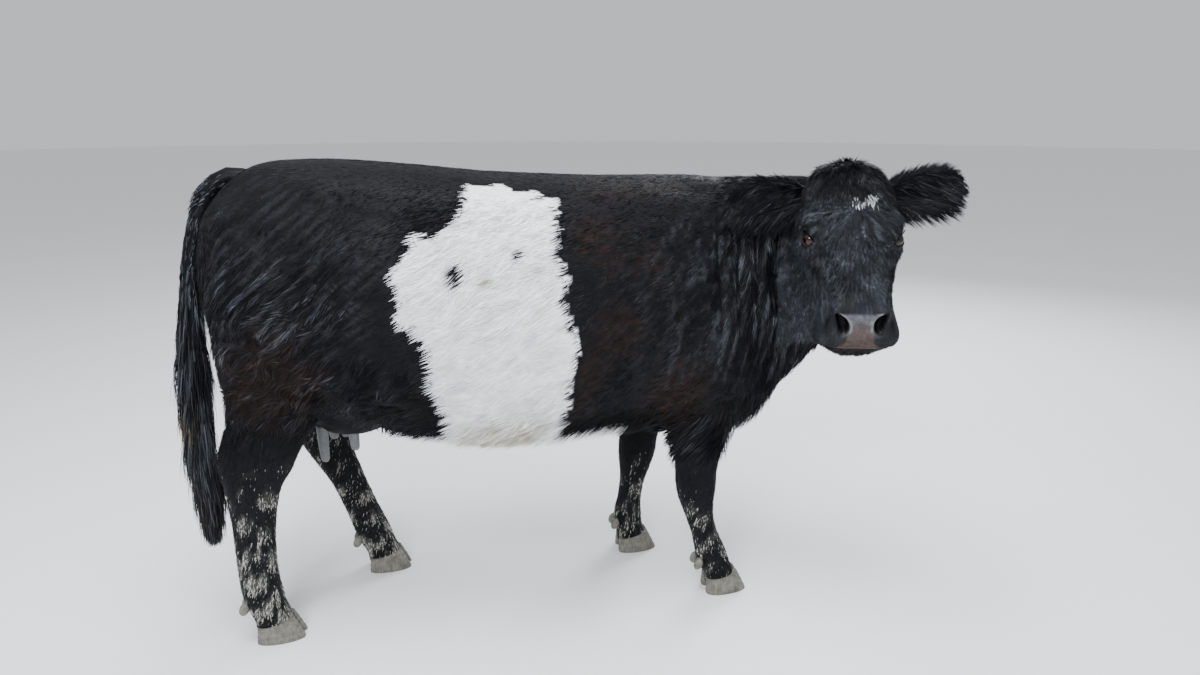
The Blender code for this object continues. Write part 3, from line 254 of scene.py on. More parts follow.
# Finer forms of the head than its masses have, on both sides: brows, sockets, cheeks, nose and lips.
FACE_FORMS = [
    Form(0.148, 0.110, -0.012, 0.024, 0.014, 0.012, 0.0075),  # ridge of the brow
    Form(0.224, 0.101, -0.040, 0.014, 0.016, 0.016, -0.0060),  # inner corner of the eye
    Form(0.192, 0.122, -0.068, 0.030, 0.012, 0.008, 0.0050),  # swelling below the eye
    Form(0.200, 0.118, -0.084, 0.030, 0.012, 0.006, -0.0045),  # groove under it
    Form(0.140, 0.106, -0.042, 0.010, 0.014, 0.012, -0.0045),  # outer corner of the eye
    Form(0.262, 0.096, -0.090, 0.060, 0.020, 0.010, 0.0050),  # ridge of the cheek
    Form(0.325, 0.070, -0.046, 0.050, 0.014, 0.014, -0.0055),  # groove beside the nose
    Form(0.295, 0.034, -0.004, 0.060, 0.014, 0.012, 0.0040),  # bone of the nose
    Form(0.404, 0.066, -0.034, 0.014, 0.012, 0.014, 0.0060),  # rim of the nostril, outside
    Form(0.428, 0.030, -0.046, 0.012, 0.010, 0.012, 0.0040),  # rim of the nostril, inside
    Form(0.425, 0.088, -0.092, 0.022, 0.016, 0.014, 0.0050),  # upper lip at its side
    Form(0.432, 0.022, -0.138, 0.024, 0.030, 0.018, 0.0150),  # lower lip
    Form(0.395, 0.092, -0.150, 0.060, 0.030, 0.030, -0.0170),  # narrow lower jaw
    Form(0.408, 0.084, -0.096, 0.030, 0.020, 0.018, 0.0060),  # corner of the upper lip
    Form(0.318, 0.080, -0.030, 0.050, 0.022, 0.036, 0.0070),  # side of the nose
    Form(0.458, 0.000, -0.080, 0.012, 0.0035, 0.014, -0.0012),  # groove of the upper lip
    Form(0.085, 0.000, 0.028, 0.040, 0.030, 0.020, -0.0030),  # hollow of the forehead
]
# Folds of the neck's right side, where it bends, upright and one behind the other.
NECK_FOLDS = [
    Form(
        0.560 + 0.030 * k, -0.215 + 0.009 * k, 0.960 + 0.012 * k,
        0.008, 0.080, 0.130 + 0.02 * (k % 3), (-0.0080, 0.0045)[k % 2],
    )
    for k in range(9)
]
# Nostrils: where the left one is, the ways into it and along it, its half length, half width and depth,
# and how far its rim swells.
NOSTRIL = Vector((0.418, 0.047, -0.036))
NOSTRIL_INWARD = (-0.80, -0.10, -0.58)
NOSTRIL_SLANT = (-0.62, 0.50, 0.60)
NOSTRIL_LONG = 0.0250
NOSTRIL_WIDE = 0.0122
NOSTRIL_DEEP = 0.0200
NOSTRIL_RIM = 0.0018
# The bare pad: its half width between the nostrils, where it is narrowest, and how much more above and below.
PAD_WAIST = 0.033
PAD_ABOVE = 0.026
PAD_BELOW = 0.028
# The mouth: its level, its rise to the front, where its line starts, how far it reaches to each side, how
# deep the line is and how far the lips swell along it.
MOUTH_LEVEL = -0.109
MOUTH_RISE = 0.010
MOUTH_BACK = 0.346
MOUTH_HALF = 0.095
MOUTH_DEEP = 0.0080
LIP_SWELL = 0.0022
# The opening of the lids: half length and half height on the ball of the eye.
LID_LONG = 0.0182
LID_HIGH = 0.0146
# Eyelids: how far each stands from the middle of the eye, in degrees, how thick it is, how far round the
# ball it reaches to each corner, in degrees, and how many rings make it.
LID_LIFT = {1: 39, -1: 37}
LID_THICK = 0.0052
LID_REACH = 80
LID_STATIONS = 33
# Across a lid, in its thicknesses: out from the ball of the eye, and away from the opening.
LID_PROFILE = [
    (-0.5, 0.1), (0.05, -0.05), (0.45, -0.10), (0.85, 0.25),
    (0.95, 0.80), (0.80, 1.50), (0.45, 2.20), (-0.3, 2.60),
]
# The eye: half length and half height of the pupil, in radii of the ball, and its colours.
PUPIL_LONG = 0.34
PUPIL_HIGH = 0.21
IRIS_DARK = np.array((0.0080, 0.0030, 0.0020))
IRIS_LIGHT = np.array((0.0400, 0.0062, 0.0060))
EYE_WHITE = np.array((0.0120, 0.0060, 0.0050))

# The udder: its middle and its reach along x, y and z.
UDDER_PLACE = Vector((-0.430, 0, 0.615))
UDDER_RADII = (0.150, 0.115, 0.105)

# The foot: where the hooves' sloping top is, and how much it rises to the front.
CORONET_HEIGHT = 0.054
CORONET_SLOPE = 0.20
# A claw: its reach before and behind the middle of the foot, how far its toe slopes back to its top, its
# width, half of the cleft beside it, and the rings that it is built of.
CLAW_TOE = 0.076
CLAW_HEEL = 0.050
CLAW_SLOPE = 0.031
CLAW_WIDE = 0.052
CLAW_GAP = 0.0035
CLAW_RINGS = 22
# Ears: root in the head's directions, length, thickness and droop, the way to the tip, the way that the cup
# faces, and half width and half angle of the cup at shares of the length.
EAR_ROOT = Vector((0.036, 0.108, -0.066))
EAR_LENGTH = 0.205
EAR_THICK = 0.0065
EAR_DROOP = 0.004
EAR_TIP = {1: (-0.22, 1.0, 0.08), -1: (0.08, -1.0, 0.03)}
EAR_FACES = {1: (0.55, 0.10, 0.75), -1: (0.60, -0.05, 0.70)}
EAR_HALF_WIDTH = ((0.0, 0.2, 0.45, 0.7, 0.88, 1.0), (0.024, 0.037, 0.050, 0.046, 0.030, 0.010))
EAR_CUP = ((0.0, 0.25, 0.6, 1.0), (125, 88, 62, 45))
# The leaf inside its coat: rings, points across, share of the cup's angle, and how far its veins stand out.
EAR_RINGS = 29
EAR_SPREAD = 19
EAR_LEAF = 0.90
EAR_VEIN = 0.0009

# Tail: half width of the switch's core, the share of each half width that the flesh has, the height where
# the hair ends, and the tail's line with half width and half depth, from inside the rump to its end.
SWITCH_CORE = 0.024
TAIL_FLESH = 0.80
TAIL_END = 0.225
TailSlice = namedtuple("TailSlice", "x y z half deep")
TAIL = [
    TailSlice(-0.630, 0.000, 1.215, 0.036, 0.030),
    TailSlice(-0.696, 0.000, 1.226, 0.034, 0.032),
    TailSlice(-0.748, -0.008, 1.186, 0.031, 0.032),
    TailSlice(-0.788, -0.020, 1.085, 0.029, 0.030),
    TailSlice(-0.812, -0.032, 0.950, 0.029, 0.030),
    TailSlice(-0.822, -0.040, 0.800, 0.029, 0.030),
    TailSlice(-0.828, -0.044, 0.650, SWITCH_CORE, SWITCH_CORE),
    TailSlice(-0.832, -0.046, 0.520, SWITCH_CORE, SWITCH_CORE),
    TailSlice(-0.824, -0.048, 0.410, 0.018, 0.018),
    TailSlice(-0.822, -0.050, 0.300, 0.006, 0.006),
]

# Teats: the height at which they start, inside the udder, and x, y and length of each.
TEAT_TOP = 0.545
TEATS = [
    (-0.512, -0.048, 0.095), (-0.430, -0.044, 0.068), (-0.495, 0.048, 0.066), (-0.462, 0.044, 0.060),
]
# Down a teat: how far forward, how far out as a share of y, the share of its length, and half width.
TEAT_PROFILE = [
    (0, 1, 0.45, 0.0142), (0.002, 1.03, 0.85, 0.0120), (0.003, 1.04, 0.97, 0.0085), (0.003, 1.04, 1, 0.0030),
]

# How fine the skin's grid is, and how many smoothing rounds blend its masses at that grid.
VOXEL = 0.010
BLEND_ROUNDS = 17

# The white belt on the right side, its front and rear edge from top to bottom, as x and height.
BELT_FRONT = [
    (-0.005, 1.209), (0.016, 1.192), (0.064, 1.187), (0.126, 1.176), (0.124, 1.134), (0.117, 1.073),
    (0.128, 1.020), (0.141, 1.000), (0.123, 0.942), (0.129, 0.885), (0.144, 0.867), (0.156, 0.807),
    (0.143, 0.764), (0.134, 0.683), (0.130, 0.630), (0.132, 0.567),
]
BELT_REAR = [
    (-0.100, 1.206), (-0.113, 1.151), (-0.134, 1.128), (-0.161, 1.106), (-0.183, 1.097), (-0.207, 1.106),
    (-0.223, 1.110), (-0.233, 1.099), (-0.244, 1.064), (-0.273, 1.039), (-0.286, 1.012), (-0.277, 0.967),
    (-0.284, 0.921), (-0.267, 0.885), (-0.219, 0.849), (-0.204, 0.827), (-0.211, 0.762), (-0.199, 0.710),
    (-0.172, 0.647), (-0.163, 0.577),
]
# How uneven the hair makes the belt's edge.
BELT_ROUGH = 0.007
# Below this height the white runs on under the belly, as far back and forward as this.
UNDERSIDE = 0.560
UNDERSIDE_BACK = -0.240
UNDERSIDE_FRONT = 0.330
# Black marks inside the belt, on the right side: x, height, half width, half height and strength.
BELT_MARKS = [
    (-0.137, 1.009, 0.0145, 0.028, 1.0), (0.022, 1.052, 0.012, 0.012, 1.0),
    (-0.021, 1.134, 0.010, 0.007, 0.35), (0.010, 1.150, 0.007, 0.007, 0.30),
]

# Painted shade in the folds of the face, on both sides: from, to and half width, in the head's own
# directions.
CREASE_SHADE = [
    ((0.176, 0.094, -0.030), (0.222, 0.050, -0.002), 0.0070),
    ((0.222, 0.122, -0.066), (0.240, 0.062, -0.006), 0.0060),
    ((0.240, 0.108, -0.060), (0.300, 0.082, -0.034), 0.0150),
    ((0.155, 0.116, -0.040), (0.166, 0.090, -0.016), 0.0050),
    ((0.398, 0.078, -0.040), (0.425, 0.082, -0.062), 0.0060),
]
# Where the hair of the face runs out from, and the middle of the white star, in the head's directions.
WHORL = 0.118
STAR = Vector((0.099, 0.042, 0.010))
# Most triangles of one piece of the coat, and how near the floor its hair comes.
PIECE_TRIANGLES = 198000
LOWEST_HAIR = 0.008
# How deep a tuft is rooted, and how large its patch of the unwrap is.
ROOT_DEPTH = 0.002
PATCH_RADIUS = 0.0015

# How the hair lies, how long it is, and how thick it stands, over the body.
Coat = namedtuple("Coat", "length half rise density")
TRUNK_COAT = Coat(0.027, 0.0016, 8, 1.0)
BACK_COAT = Coat(0.024, 0.0015, 7, 1.0)
NECK_COAT = Coat(0.040, 0.0018, 10, 1.1)
THIGH_COAT = Coat(0.034, 0.0020, 14, 1.0)
BELLY_COAT = Coat(0.042, 0.0021, 20, 1.0)
LEG_COAT = Coat(0.016, 0.0014, 13, 2.4)
BELT_COAT = Coat(0.033, 0.0017, 14, 1.1)
FACE_COAT = Coat(0.0150, 0.0010, 18, 4.2)
MUZZLE_COAT = Coat(0.0090, 0.0008, 14, 4.6)
CHIN_COAT = Coat(0.0140, 0.0010, 26, 4.4)
BROW_COAT = Coat(0.022, 0.0012, 20, 3.0)
UDDER_COAT = Coat(0.009, 0.0010, 12, 1.4)
# The ways in which the hair lies on trunk, rump, neck and legs.
TRUNK_LIE = np.array((-1.0, 0.0, -0.50))
RUMP_LIE = np.array((-0.95, 0.0, -0.95))
NECK_LIE = np.array((-0.42, 0.12, -0.90))
LEG_LIE = np.array((-0.20, 0.0, -1.0))
# How the lie sways along x, y and z: strength, size of the waves and seed.
LIE_WAVES = ((0.22, 0.14, 31), (0.10, 0.14, 32), (0.22, 0.10, 33))

# Colours of the coat and of what is bare, as red, green and blue.
BLACK = np.array((0.0042, 0.0044, 0.0053))
# A lighter blue-grey laid over the black hair: partly lighter hair, mostly painted sheen where light would
# gleam on the coat.
LIGHT_HAIR_AND_PAINTED_SHEEN = np.array((0.0490, 0.0530, 0.0620))
BROWN = np.array((0.0210, 0.0105, 0.0075))
WHITE = np.array((0.870, 0.885, 0.865))
SOILED = np.array((0.420, 0.320, 0.190))
DUST = np.array((0.540, 0.515, 0.465))
NOSE = np.array((0.048, 0.026, 0.021))
# The pad's top: pale blue-grey, a painted reflection on its wet skin.
NOSE_TOP_REFLECTION = np.array((0.082, 0.088, 0.102))
# A painted highlight on the inner rims of the nostrils.
NOSE_RIM_HIGHLIGHT = np.array((0.130, 0.130, 0.140))
CHIN = np.array((0.0070, 0.0056, 0.0050))
LID_SKIN = np.array((0.007, 0.006, 0.006))
TEAT_DARK = (0.045, 0.046, 0.048)
TEAT_PALE = (0.170, 0.178, 0.185)
# The horn of the hooves, from its darkest to its palest: share of its texture, and colour.
HORN_TONES = [
    (0.30, (0.050, 0.047, 0.038)), (0.48, (0.120, 0.112, 0.092)), (0.66, (0.220, 0.205, 0.168)),
]
# How much of its red, green and blue the white hair loses where it is greyest or most darkened by painted
# shade.
GREY_AND_SHADE_TINT = (1.0, 0.92, 0.80)
# How strongly hair and haired skin shine.
COAT_SHINE = 0.08
# The strands of a hair's colour: how they are turned and how much finer they are across than along.
STRAND_TURN = math.radians(-30)
STRAND_STRETCH = (34, 210, 210)

# What the photo's camera is like: its place by the cow, its turn, its tilt and its lens.
CAMERA_PLACE = Vector((-0.1998, -2.4695, 1.41665))
CAMERA_TURN = math.radians(10.804)
CAMERA_TILT = math.radians(14.783)
CAMERA_LENS = 27.0
SENSOR_WIDTH = 36.0
# The colour of the lights, a little cooler than white.
COOL_LIGHT = (0.90, 0.95, 1.0)
# Lights: name, place, width and the setting that holds the power. All turn towards one place.
LIGHTS = [
    ("key", (-1.6, -3.8, 3.6), 2.0, "key_power"),
    ("top", (-0.4, -0.6, 4.4), 2.4, "top_power"),
    ("back", (2.6, 3.2, 3.0), 2.0, "rim_power"),
]
LIT_PLACE = Vector((0.1, 0, 0.7))


def smooth_rows(rows, steps):
    """The rows of numbers with steps - 1 more between each two, along one smooth curve."""
    rows = np.array(rows, float)
    padded = np.vstack([2 * rows[0] - rows[1], rows, 2 * rows[-1] - rows[-2]])
    found = []
    for i in range(len(rows) - 1):
        a, b, c, d = padded[i : i + 4]
        for k in range(steps):
            t = k / steps
            found.append(
                0.5
                * (2 * b + (c - a) * t + (2 * a - 5 * b + 4 * c - d) * t**2 + (3 * b - a - 3 * c + d) * t**3)
            )
    found.append(rows[-1])
    return found


def ring_points(centre, side, up, half, rise, drop, power, count):
    """A closed oval round centre, half wide along side, and rise above and drop below it along up."""
    points = []
    for k in range(count):
        angle = 2 * math.pi * k / count
        across = math.copysign(abs(math.cos(angle)) ** (2 / power), math.cos(angle))
        along = math.copysign(abs(math.sin(angle)) ** (2 / power), math.sin(angle))
        points.append(centre + side * half * across + up * (rise if along > 0 else drop) * along)
    return points


def loft(rings):
    """A bmesh that bridges the rings of points in turn and closes both ends."""
    bm = bmesh.new()
    loops = []
    for points in rings:
        verts = [bm.verts.new(p) for p in points]
        loops.append([bm.edges.new((verts[i - 1], verts[i])) for i in range(len(verts))])
    for first, second in zip(loops, loops[1:]):
        bmesh.ops.bridge_loops(bm, edges=first + second)
    for loop in (loops[0], loops[-1]):
        bmesh.ops.contextual_create(bm, geom=loop)
    bmesh.ops.recalc_face_normals(bm, faces=bm.faces)
    return bm


def object_of(bm, name):
    """A new object with the mesh of bm, in the scene."""
    mesh = bpy.data.meshes.new(name)
    bm.to_mesh(mesh)
    bm.free()
    obj = bpy.data.objects.new(name, mesh)
    bpy.context.scene.collection.objects.link(obj)
    return obj


def settled(obj):
    """Puts the mesh that obj's modifiers make in place of its own, and drops the modifiers."""
    bpy.context.view_layer.update()
    graph = bpy.context.evaluated_depsgraph_get()
    mesh = bpy.data.meshes.new_from_object(obj.evaluated_get(graph))
    obj.modifiers.clear()
    obj.data = mesh
    return obj


def head_frame():
    """Turns the head's own directions, along the face, to its left and out of the face, into the world's."""
    flat = Vector((math.cos(HEAD_HEADING), math.sin(HEAD_HEADING), 0))
    along = flat * math.cos(HEAD_PITCH) - Vector((0, 0, math.sin(HEAD_PITCH)))
    out = flat * math.sin(HEAD_PITCH) + Vector((0, 0, math.cos(HEAD_PITCH)))
    place = Matrix((along, out.cross(along), out)).transposed().to_4x4()
    place.translation = POLL
    return place


def head_turn():
    """The turn from the head's own directions to the world's, as an array."""
    return np.array(head_frame().to_3x3())


def eye_centre(side):
    """The middle of an eye's ball, in the head's own directions."""
    return Vector((EYE.x, side * EYE.y, EYE.z))


def trunk():
    rows = [Slice(*row) for row in smooth_rows(TRUNK, 3)]
    return loft(
        [
            ring_points(
                Vector((s.x, 0, s.widest)), Vector((0, 1, 0)), Vector((0, 0, 1)),
                s.half, s.top - s.widest, s.widest - s.bottom, s.square, 40,
            )
            for s in rows
        ]
    )


def neck():
    rings = []
    for row in smooth_rows(NECK, 4):
        s = NeckSlice(*row)
        heading = math.radians(s.heading)
        side = Vector((-math.sin(heading), math.cos(heading), 0))
        rings.append(
            ring_points(Vector((s.x, s.y, s.z)), side, Vector((0, 0, 1)), s.half, s.rise, s.drop, 2.0, 32)
        )
    return loft(rings)


def head():
    place = head_frame()
    rings = []
    for row in smooth_rows(HEAD, 3):
        s = HeadSlice(*row)
        ring = ring_points(
            Vector((s.along, 0, s.widest)), Vector((0, 1, 0)), Vector((0, 0, 1)),
            s.half, s.face - s.widest, s.widest - s.jaw, s.square, 36,
        )
        rings.append([place @ p for p in ring])
    return loft(rings)


def leg(rows, track):
    """A leg as one tube, each ring square to the leg's own line."""
    rows = [LegSlice(*row) for row in smooth_rows(rows, 3)]
    rings = []
    for i, s in enumerate(rows):
        before, after = rows[max(i - 1, 0)], rows[min(i + 1, len(rows) - 1)]
        lean = Vector((after.x - before.x, 0, after.z - before.z)).normalized()
        front = Vector((-lean.z, 0, lean.x))
        rings.append(
            ring_points(
                Vector((s.x, s.track * track, s.z)), Vector((0, 1, 0)), front, s.half, s.deep, s.deep, 2.2, 24
            )
        )
    return loft(rings)


def eye_place(side):
    return head_frame() @ eye_centre(side)


def turned_ball(centre, axes, radii, segments=12, rings=8):
    """A ball stretched along three directions, put at centre."""
    bm = bmesh.new()
    bmesh.ops.create_uvsphere(bm, u_segments=segments, v_segments=rings, radius=1)
    place = Matrix([axes[i] * radii[i] for i in range(3)]).transposed().to_4x4()
    place.translation = centre
    bmesh.ops.transform(bm, matrix=place, verts=bm.verts)
    bmesh.ops.recalc_face_normals(bm, faces=bm.faces)
    return bm


def ear_axes(side):
    """The ear's direction to its tip, the way its cup faces, and the direction across it."""
    turn = head_frame().to_3x3()
    tip = (turn @ Vector(EAR_TIP[side])).normalized()
    faces = turn @ Vector(EAR_FACES[side])
    faces = (faces - tip * faces.dot(tip)).normalized()
    return tip, faces, tip.cross(faces)


def ear_root(side):
    return head_frame() @ Vector((EAR_ROOT.x, side * EAR_ROOT.y, EAR_ROOT.z))


def ear_shape(side, share):
    """At a share of the ear's length: its mid line, half angle and radius of its cup, and its thickness."""
    tip = ear_axes(side)[0]
    half = np.interp(share, *EAR_HALF_WIDTH)
    cup = math.radians(np.interp(share, *EAR_CUP))
    radius = half / math.sin(min(cup, math.pi / 2))
    place = ear_root(side) + tip * EAR_LENGTH * share - Vector((0, 0, EAR_DROOP * share**2))
    return place, cup, radius, EAR_THICK * (1.3 - 0.6 * share)


def claw_outline(x_back, x_toe, inner, outer, side, count=12):
    """Plan of one claw: straight on its inner side, round at the heel, drawn to a blunt toe."""
    points = []
    for k in range(count):
        angle = 2 * math.pi * k / count
        c, s = math.cos(angle), math.sin(angle)
        x = (x_back + x_toe) / 2 + (x_toe - x_back) / 2 * math.copysign(abs(c) ** 0.75, c)
        share = (x - x_back) / (x_toe - x_back)
        width = (outer - inner) * (1 - 0.42 * share**3)
        y = inner + width * (0.5 + 0.5 * math.copysign(abs(s) ** (0.75 if s > 0 else 0.55), s))
        points.append((x, side * y))
    return points


def tail_rows():
    return [TailSlice(*row) for row in smooth_rows(TAIL, 2)]


def tube_of(rows, count):
    """Rings round the rows' line, each square to it."""
    rings = []
    for i, s in enumerate(rows):
        before, after = rows[max(i - 1, 0)], rows[min(i + 1, len(rows) - 1)]
        run = Vector((after.x - before.x, after.y - before.y, after.z - before.z)).normalized()
        side = run.cross(Vector((1, 0, 0) if abs(run.x) < 0.9 else (0, 0, 1))).normalized()
        front = side.cross(run)
        rings.append(
            ring_points(Vector((s.x, s.y, s.z)), side, front, s.half, s.deep, s.deep, 2.0, count)
        )
    return rings


def ramp(value, low, high):
    """0 at low and 1 at high, smooth between them and flat beyond; low may be the greater."""
    share = np.clip((value - low) / (high - low), 0, 1)
    return share * share * (3 - 2 * share)


def between(value, least, low, high, most):
    """1 from low to high and 0 beyond least and most, smooth between them."""
    return ramp(value, least, low) * ramp(value, most, high)


def spot(first, second, place, reach, outer=1.2, inner=0.3):
    """1 inside an oval at that place with that reach, 0 outside it, with a soft edge from inner to outer."""
    far = np.hypot((first - place[0]) / reach[0], (second - place[1]) / reach[1])
    return ramp(far, outer, inner)


def waves(points, size, seed):
    """Smooth noise, mostly from -1 to 1, with forms of about that size."""
    rng = np.random.default_rng(seed)
    total = np.zeros(len(points))
    for _ in range(8):
        way = rng.normal(size=3)
        way *= 2 * math.pi / (size * rng.uniform(0.7, 1.6) * np.linalg.norm(way))
        total += np.sin(points @ way + rng.uniform(0, 2 * math.pi))
    return total / 3.2


def unit(vectors):
    return vectors / np.maximum(np.linalg.norm(vectors, axis=1, keepdims=True), 1e-9)


def along_surface(ways, normals):
    """The ways without what leads them off the surface."""
    return ways - normals * (ways * normals).sum(1, keepdims=True)


def mixed(first, second, share):
    """first where share is 0, second where it is 1."""
    return first + (second - first) * share[:, None]


def layered(base, *layers):
    """The base with each layer laid over it in turn, as far as the layer's share says."""
    for layer, share in layers:
        base = mixed(base, layer, share)
    return base


def in_head(points):
    """The points in the head's own directions: along the face, to its left and out of the face."""
    inverse = np.array(head_frame().inverted())
    return points @ inverse[:3, :3].T + inverse[:3, 3]


def head_share(points):
    """1 on the head, 0 behind the poll and on the rest of the body."""
    along, left, out = in_head(points).T
    near = (np.abs(left) < HEAD_ZONE_HALF) & (points[:, 2] > HEAD_ZONE_LOW) & (points[:, 0] > HEAD_ZONE_REAR)
    behind = along - JAW_SLOPE * (out + 0.10)
    return ramp(behind, -0.03, 0.05) * near


def poll_share(local):
    """1 on top of the poll and a little behind it."""
    along, left, out = local.T
    above = between(along, -0.085, -0.050, 0.12, 0.16) * ramp(out, -0.12, -0.07)
    return above * ramp(np.abs(left), 0.14, 0.11)


def mouth_gap(local):
    """Height of each point of the head above the line between the lips, far off where there is none."""
    along, left, out = local.T
    forward = np.clip(1 - np.abs(left / MOUTH_HALF) ** 2.5, 0, 1) ** 0.4
    gap = out - (MOUTH_LEVEL + MOUTH_RISE * forward)
    return np.where(along > MOUTH_BACK, gap, 1.0)


def chin_share(local):
    """1 on the chin, under the line of the mouth."""
    return ramp(mouth_gap(local), -0.003, -0.010)


def nostril_far(local, side):
    """How far each point of the head is from the middle of one nostril, 1 at its rim: a drop, broad below."""
    slant, across, inward = nostril_axes(side)
    away = local - np.array((NOSTRIL.x, side * NOSTRIL.y, NOSTRIL.z))
    high = away @ slant / NOSTRIL_LONG
    wide = NOSTRIL_WIDE * (1 - 0.45 * np.clip(high, -1, 1))
    # The drop bends outward at its top.
    bent = away @ across - 0.004 * high**2 * side
    return np.where(np.abs(away @ inward) < 0.035, np.hypot(high, bent / wide), FAR_OFF)


def nostril_share(local):
    """How far each point of the head is from the middle of the nearer nostril, 1 at its rim."""
    return np.minimum(nostril_far(local, -1), nostril_far(local, 1))


def nostril_painted_shade(local):
    """1 inside the nostrils, where their colour is darkened as painted shade, 0 outside."""
    return ramp(nostril_share(local), 1.22, 0.92)


def nostril_axes(side):
    """Along, across and into a nostril, in the head's own directions."""
    x, y, z = NOSTRIL_INWARD
    inward = Vector((x, side * y, z)).normalized()
    x, y, z = NOSTRIL_SLANT
    slant = Vector((x, side * y, z))
    slant = (slant - inward * slant.dot(inward)).normalized()
    return np.array(slant), np.array(inward.cross(slant)), np.array(inward)


def eye_axes(side):
    """Where an eye looks, along its opening and up across it, in the head's own directions."""
    gaze, long = (Vector((x, side * y, z)).normalized() for x, y, z in (EYE_GAZE, EYE_LONG))
    up = gaze.cross(long).normalized()
    return gaze, long, up if up.z > 0 else -up


def bare_share(local, head):
    """1 on the bare, wet pad between and round the nostrils."""
    along, left, out = local.T
    above, below = ramp(out, -0.055, -0.028), ramp(out, -0.068, -0.102)
    reach = PAD_WAIST + PAD_ABOVE * above + PAD_BELOW * below
    pad = ramp(along, 0.396, 0.408) * ramp(out, -0.112, -0.105) * ramp(np.abs(left) - reach, 0.004, -0.003)
    front = ramp(along + 0.45 * (out + 0.09), 0.414, 0.424) * ramp(mouth_gap(local), 0.002, 0.006)
    return np.maximum(pad * front, ramp(nostril_share(local), 1.55, 1.30)) * head


def inside(outline, x, z):
    """True where the points lie inside the closed outline."""
    found = np.zeros(len(x), bool)
    for (x1, z1), (x2, z2) in zip(outline, outline[1:] + outline[:1]):
        if z1 != z2:
            crosses = (z1 > z) != (z2 > z)
            found ^= crosses & (x < (x2 - x1) * (z - z1) / (z2 - z1) + x1)
    return found


def belt_share(points):
    """1 on the white belt, with the uneven edge that hair gives it."""
    x, y, z = points.T
    rough = BELT_ROUGH * waves(points, size=0.035, seed=3)
    # The far side has the same belt with a calmer edge of its own.
    drift = np.where(y > 0.02, 0.018 * np.sin(9 * z + 1.0) + 0.012, 0.0)
    below = [(edge[-1][0], 0.30) for edge in (BELT_FRONT, BELT_REAR)]
    found = inside(BELT_FRONT + below + BELT_REAR[::-1], x + rough + drift, z + rough).astype(float)
    under = ramp(z + rough, UNDERSIDE + 0.010, UNDERSIDE - 0.004) * ramp(np.abs(y), 0.245, 0.215)
    under *= ramp(x + rough, UNDERSIDE_BACK, UNDERSIDE_BACK + 0.02)
    under *= ramp(x + rough, UNDERSIDE_FRONT, UNDERSIDE_FRONT - 0.02)
    found = np.maximum(found, (under > 0.5).astype(float))
    for mark_x, mark_z, wide, high, strength in BELT_MARKS:
        mark = spot(x + rough * 0.3, z, (mark_x, mark_z), (wide, high), outer=1.25, inner=0.85)
        found *= 1 - strength * mark * (y < 0)
    return found * (z > 0.36) * (x < 0.5)


def star_share(local, head):
    """1 on the small white star of the forehead and the few white hairs by it."""
    along, left, out = local.T
    rough = 0.004 * waves(local, size=0.012, seed=5)
    star = spot(left + rough, along + rough, (STAR.y, STAR.x), (0.0135, 0.0065), outer=1.15, inner=0.85)
    upper = spot(left + rough, along, (STAR.y - 0.002, STAR.x - 0.019), (0.012, 0.0040), outer=1.2, inner=0.8)
    curl = along - STAR.x - 0.010 - 0.006 * np.sin((left - STAR.y) * 160)
    hairs = spot(left, curl, (STAR.y - 0.034, 0), (0.020, 0.0024), outer=1.2, inner=0.7)
    return np.maximum.reduce([star, 0.8 * upper, 0.8 * hairs]) * head * (out > -0.06)


def strands_along(points, way, size, seed):
    """Noise in long streaks that run along the way."""
    way = np.array(way) / np.linalg.norm(way)
    return waves(points - np.outer(points @ way, way) * 0.93, size, seed)


def painted_sheen_share(points):
    """How much painted sheen lies over the black hair, in streaks that partly stand for lighter hair: most on
    the face and the neck.
    """
    x, _, z = points.T
    local, head = in_head(points), head_share(points)
    patches = waves(points, size=0.050, seed=65)
    # Painted sheen: the trunk is lightened a little all over, and more where its forms swell.
    rump = spot(x, z, (-0.50, 1.04), (0.30, 0.22))
    shoulder = spot(x, z, (0.42, 0.88), (0.22, 0.24))
    haunch = spot(x, z, (-0.56, 0.92), (0.20, 0.14))
    buttock = ramp(x, -0.58, -0.72) * between(z, 0.70, 0.85, 1.00, 1.15)
    broad = 0.05 + 0.22 * np.maximum(rump, shoulder) + np.maximum(0.38 * buttock, 0.42 * haunch)
    broad = broad + 0.12 * thigh_share(points)
    trunk_streaks = strands_along(points, (-0.80, 0.0, -0.60), size=0.011, seed=61)
    found = broad * ramp(trunk_streaks + 0.4 * patches, -0.3, 1.5)
    neck_streaks = strands_along(points, (-0.25, 0.05, -0.97), size=0.018, seed=62)
    on_neck = (0.45 * ramp(x, 0.28, 0.42) + 0.55 * ramp(x, 0.46, 0.62)) * ramp(x, 0.95, 0.85)
    on_neck = on_neck * between(z, 0.62, 0.76, 1.08, 1.15)
    found = found + (0.90 * ramp(neck_streaks + 0.3 * patches, -0.1, 1.5) - found) * on_neck
    found = found + (painted_face_sheen(local, patches) - found) * head
    return found * (1 - 0.85 * chin_share(local) * head)


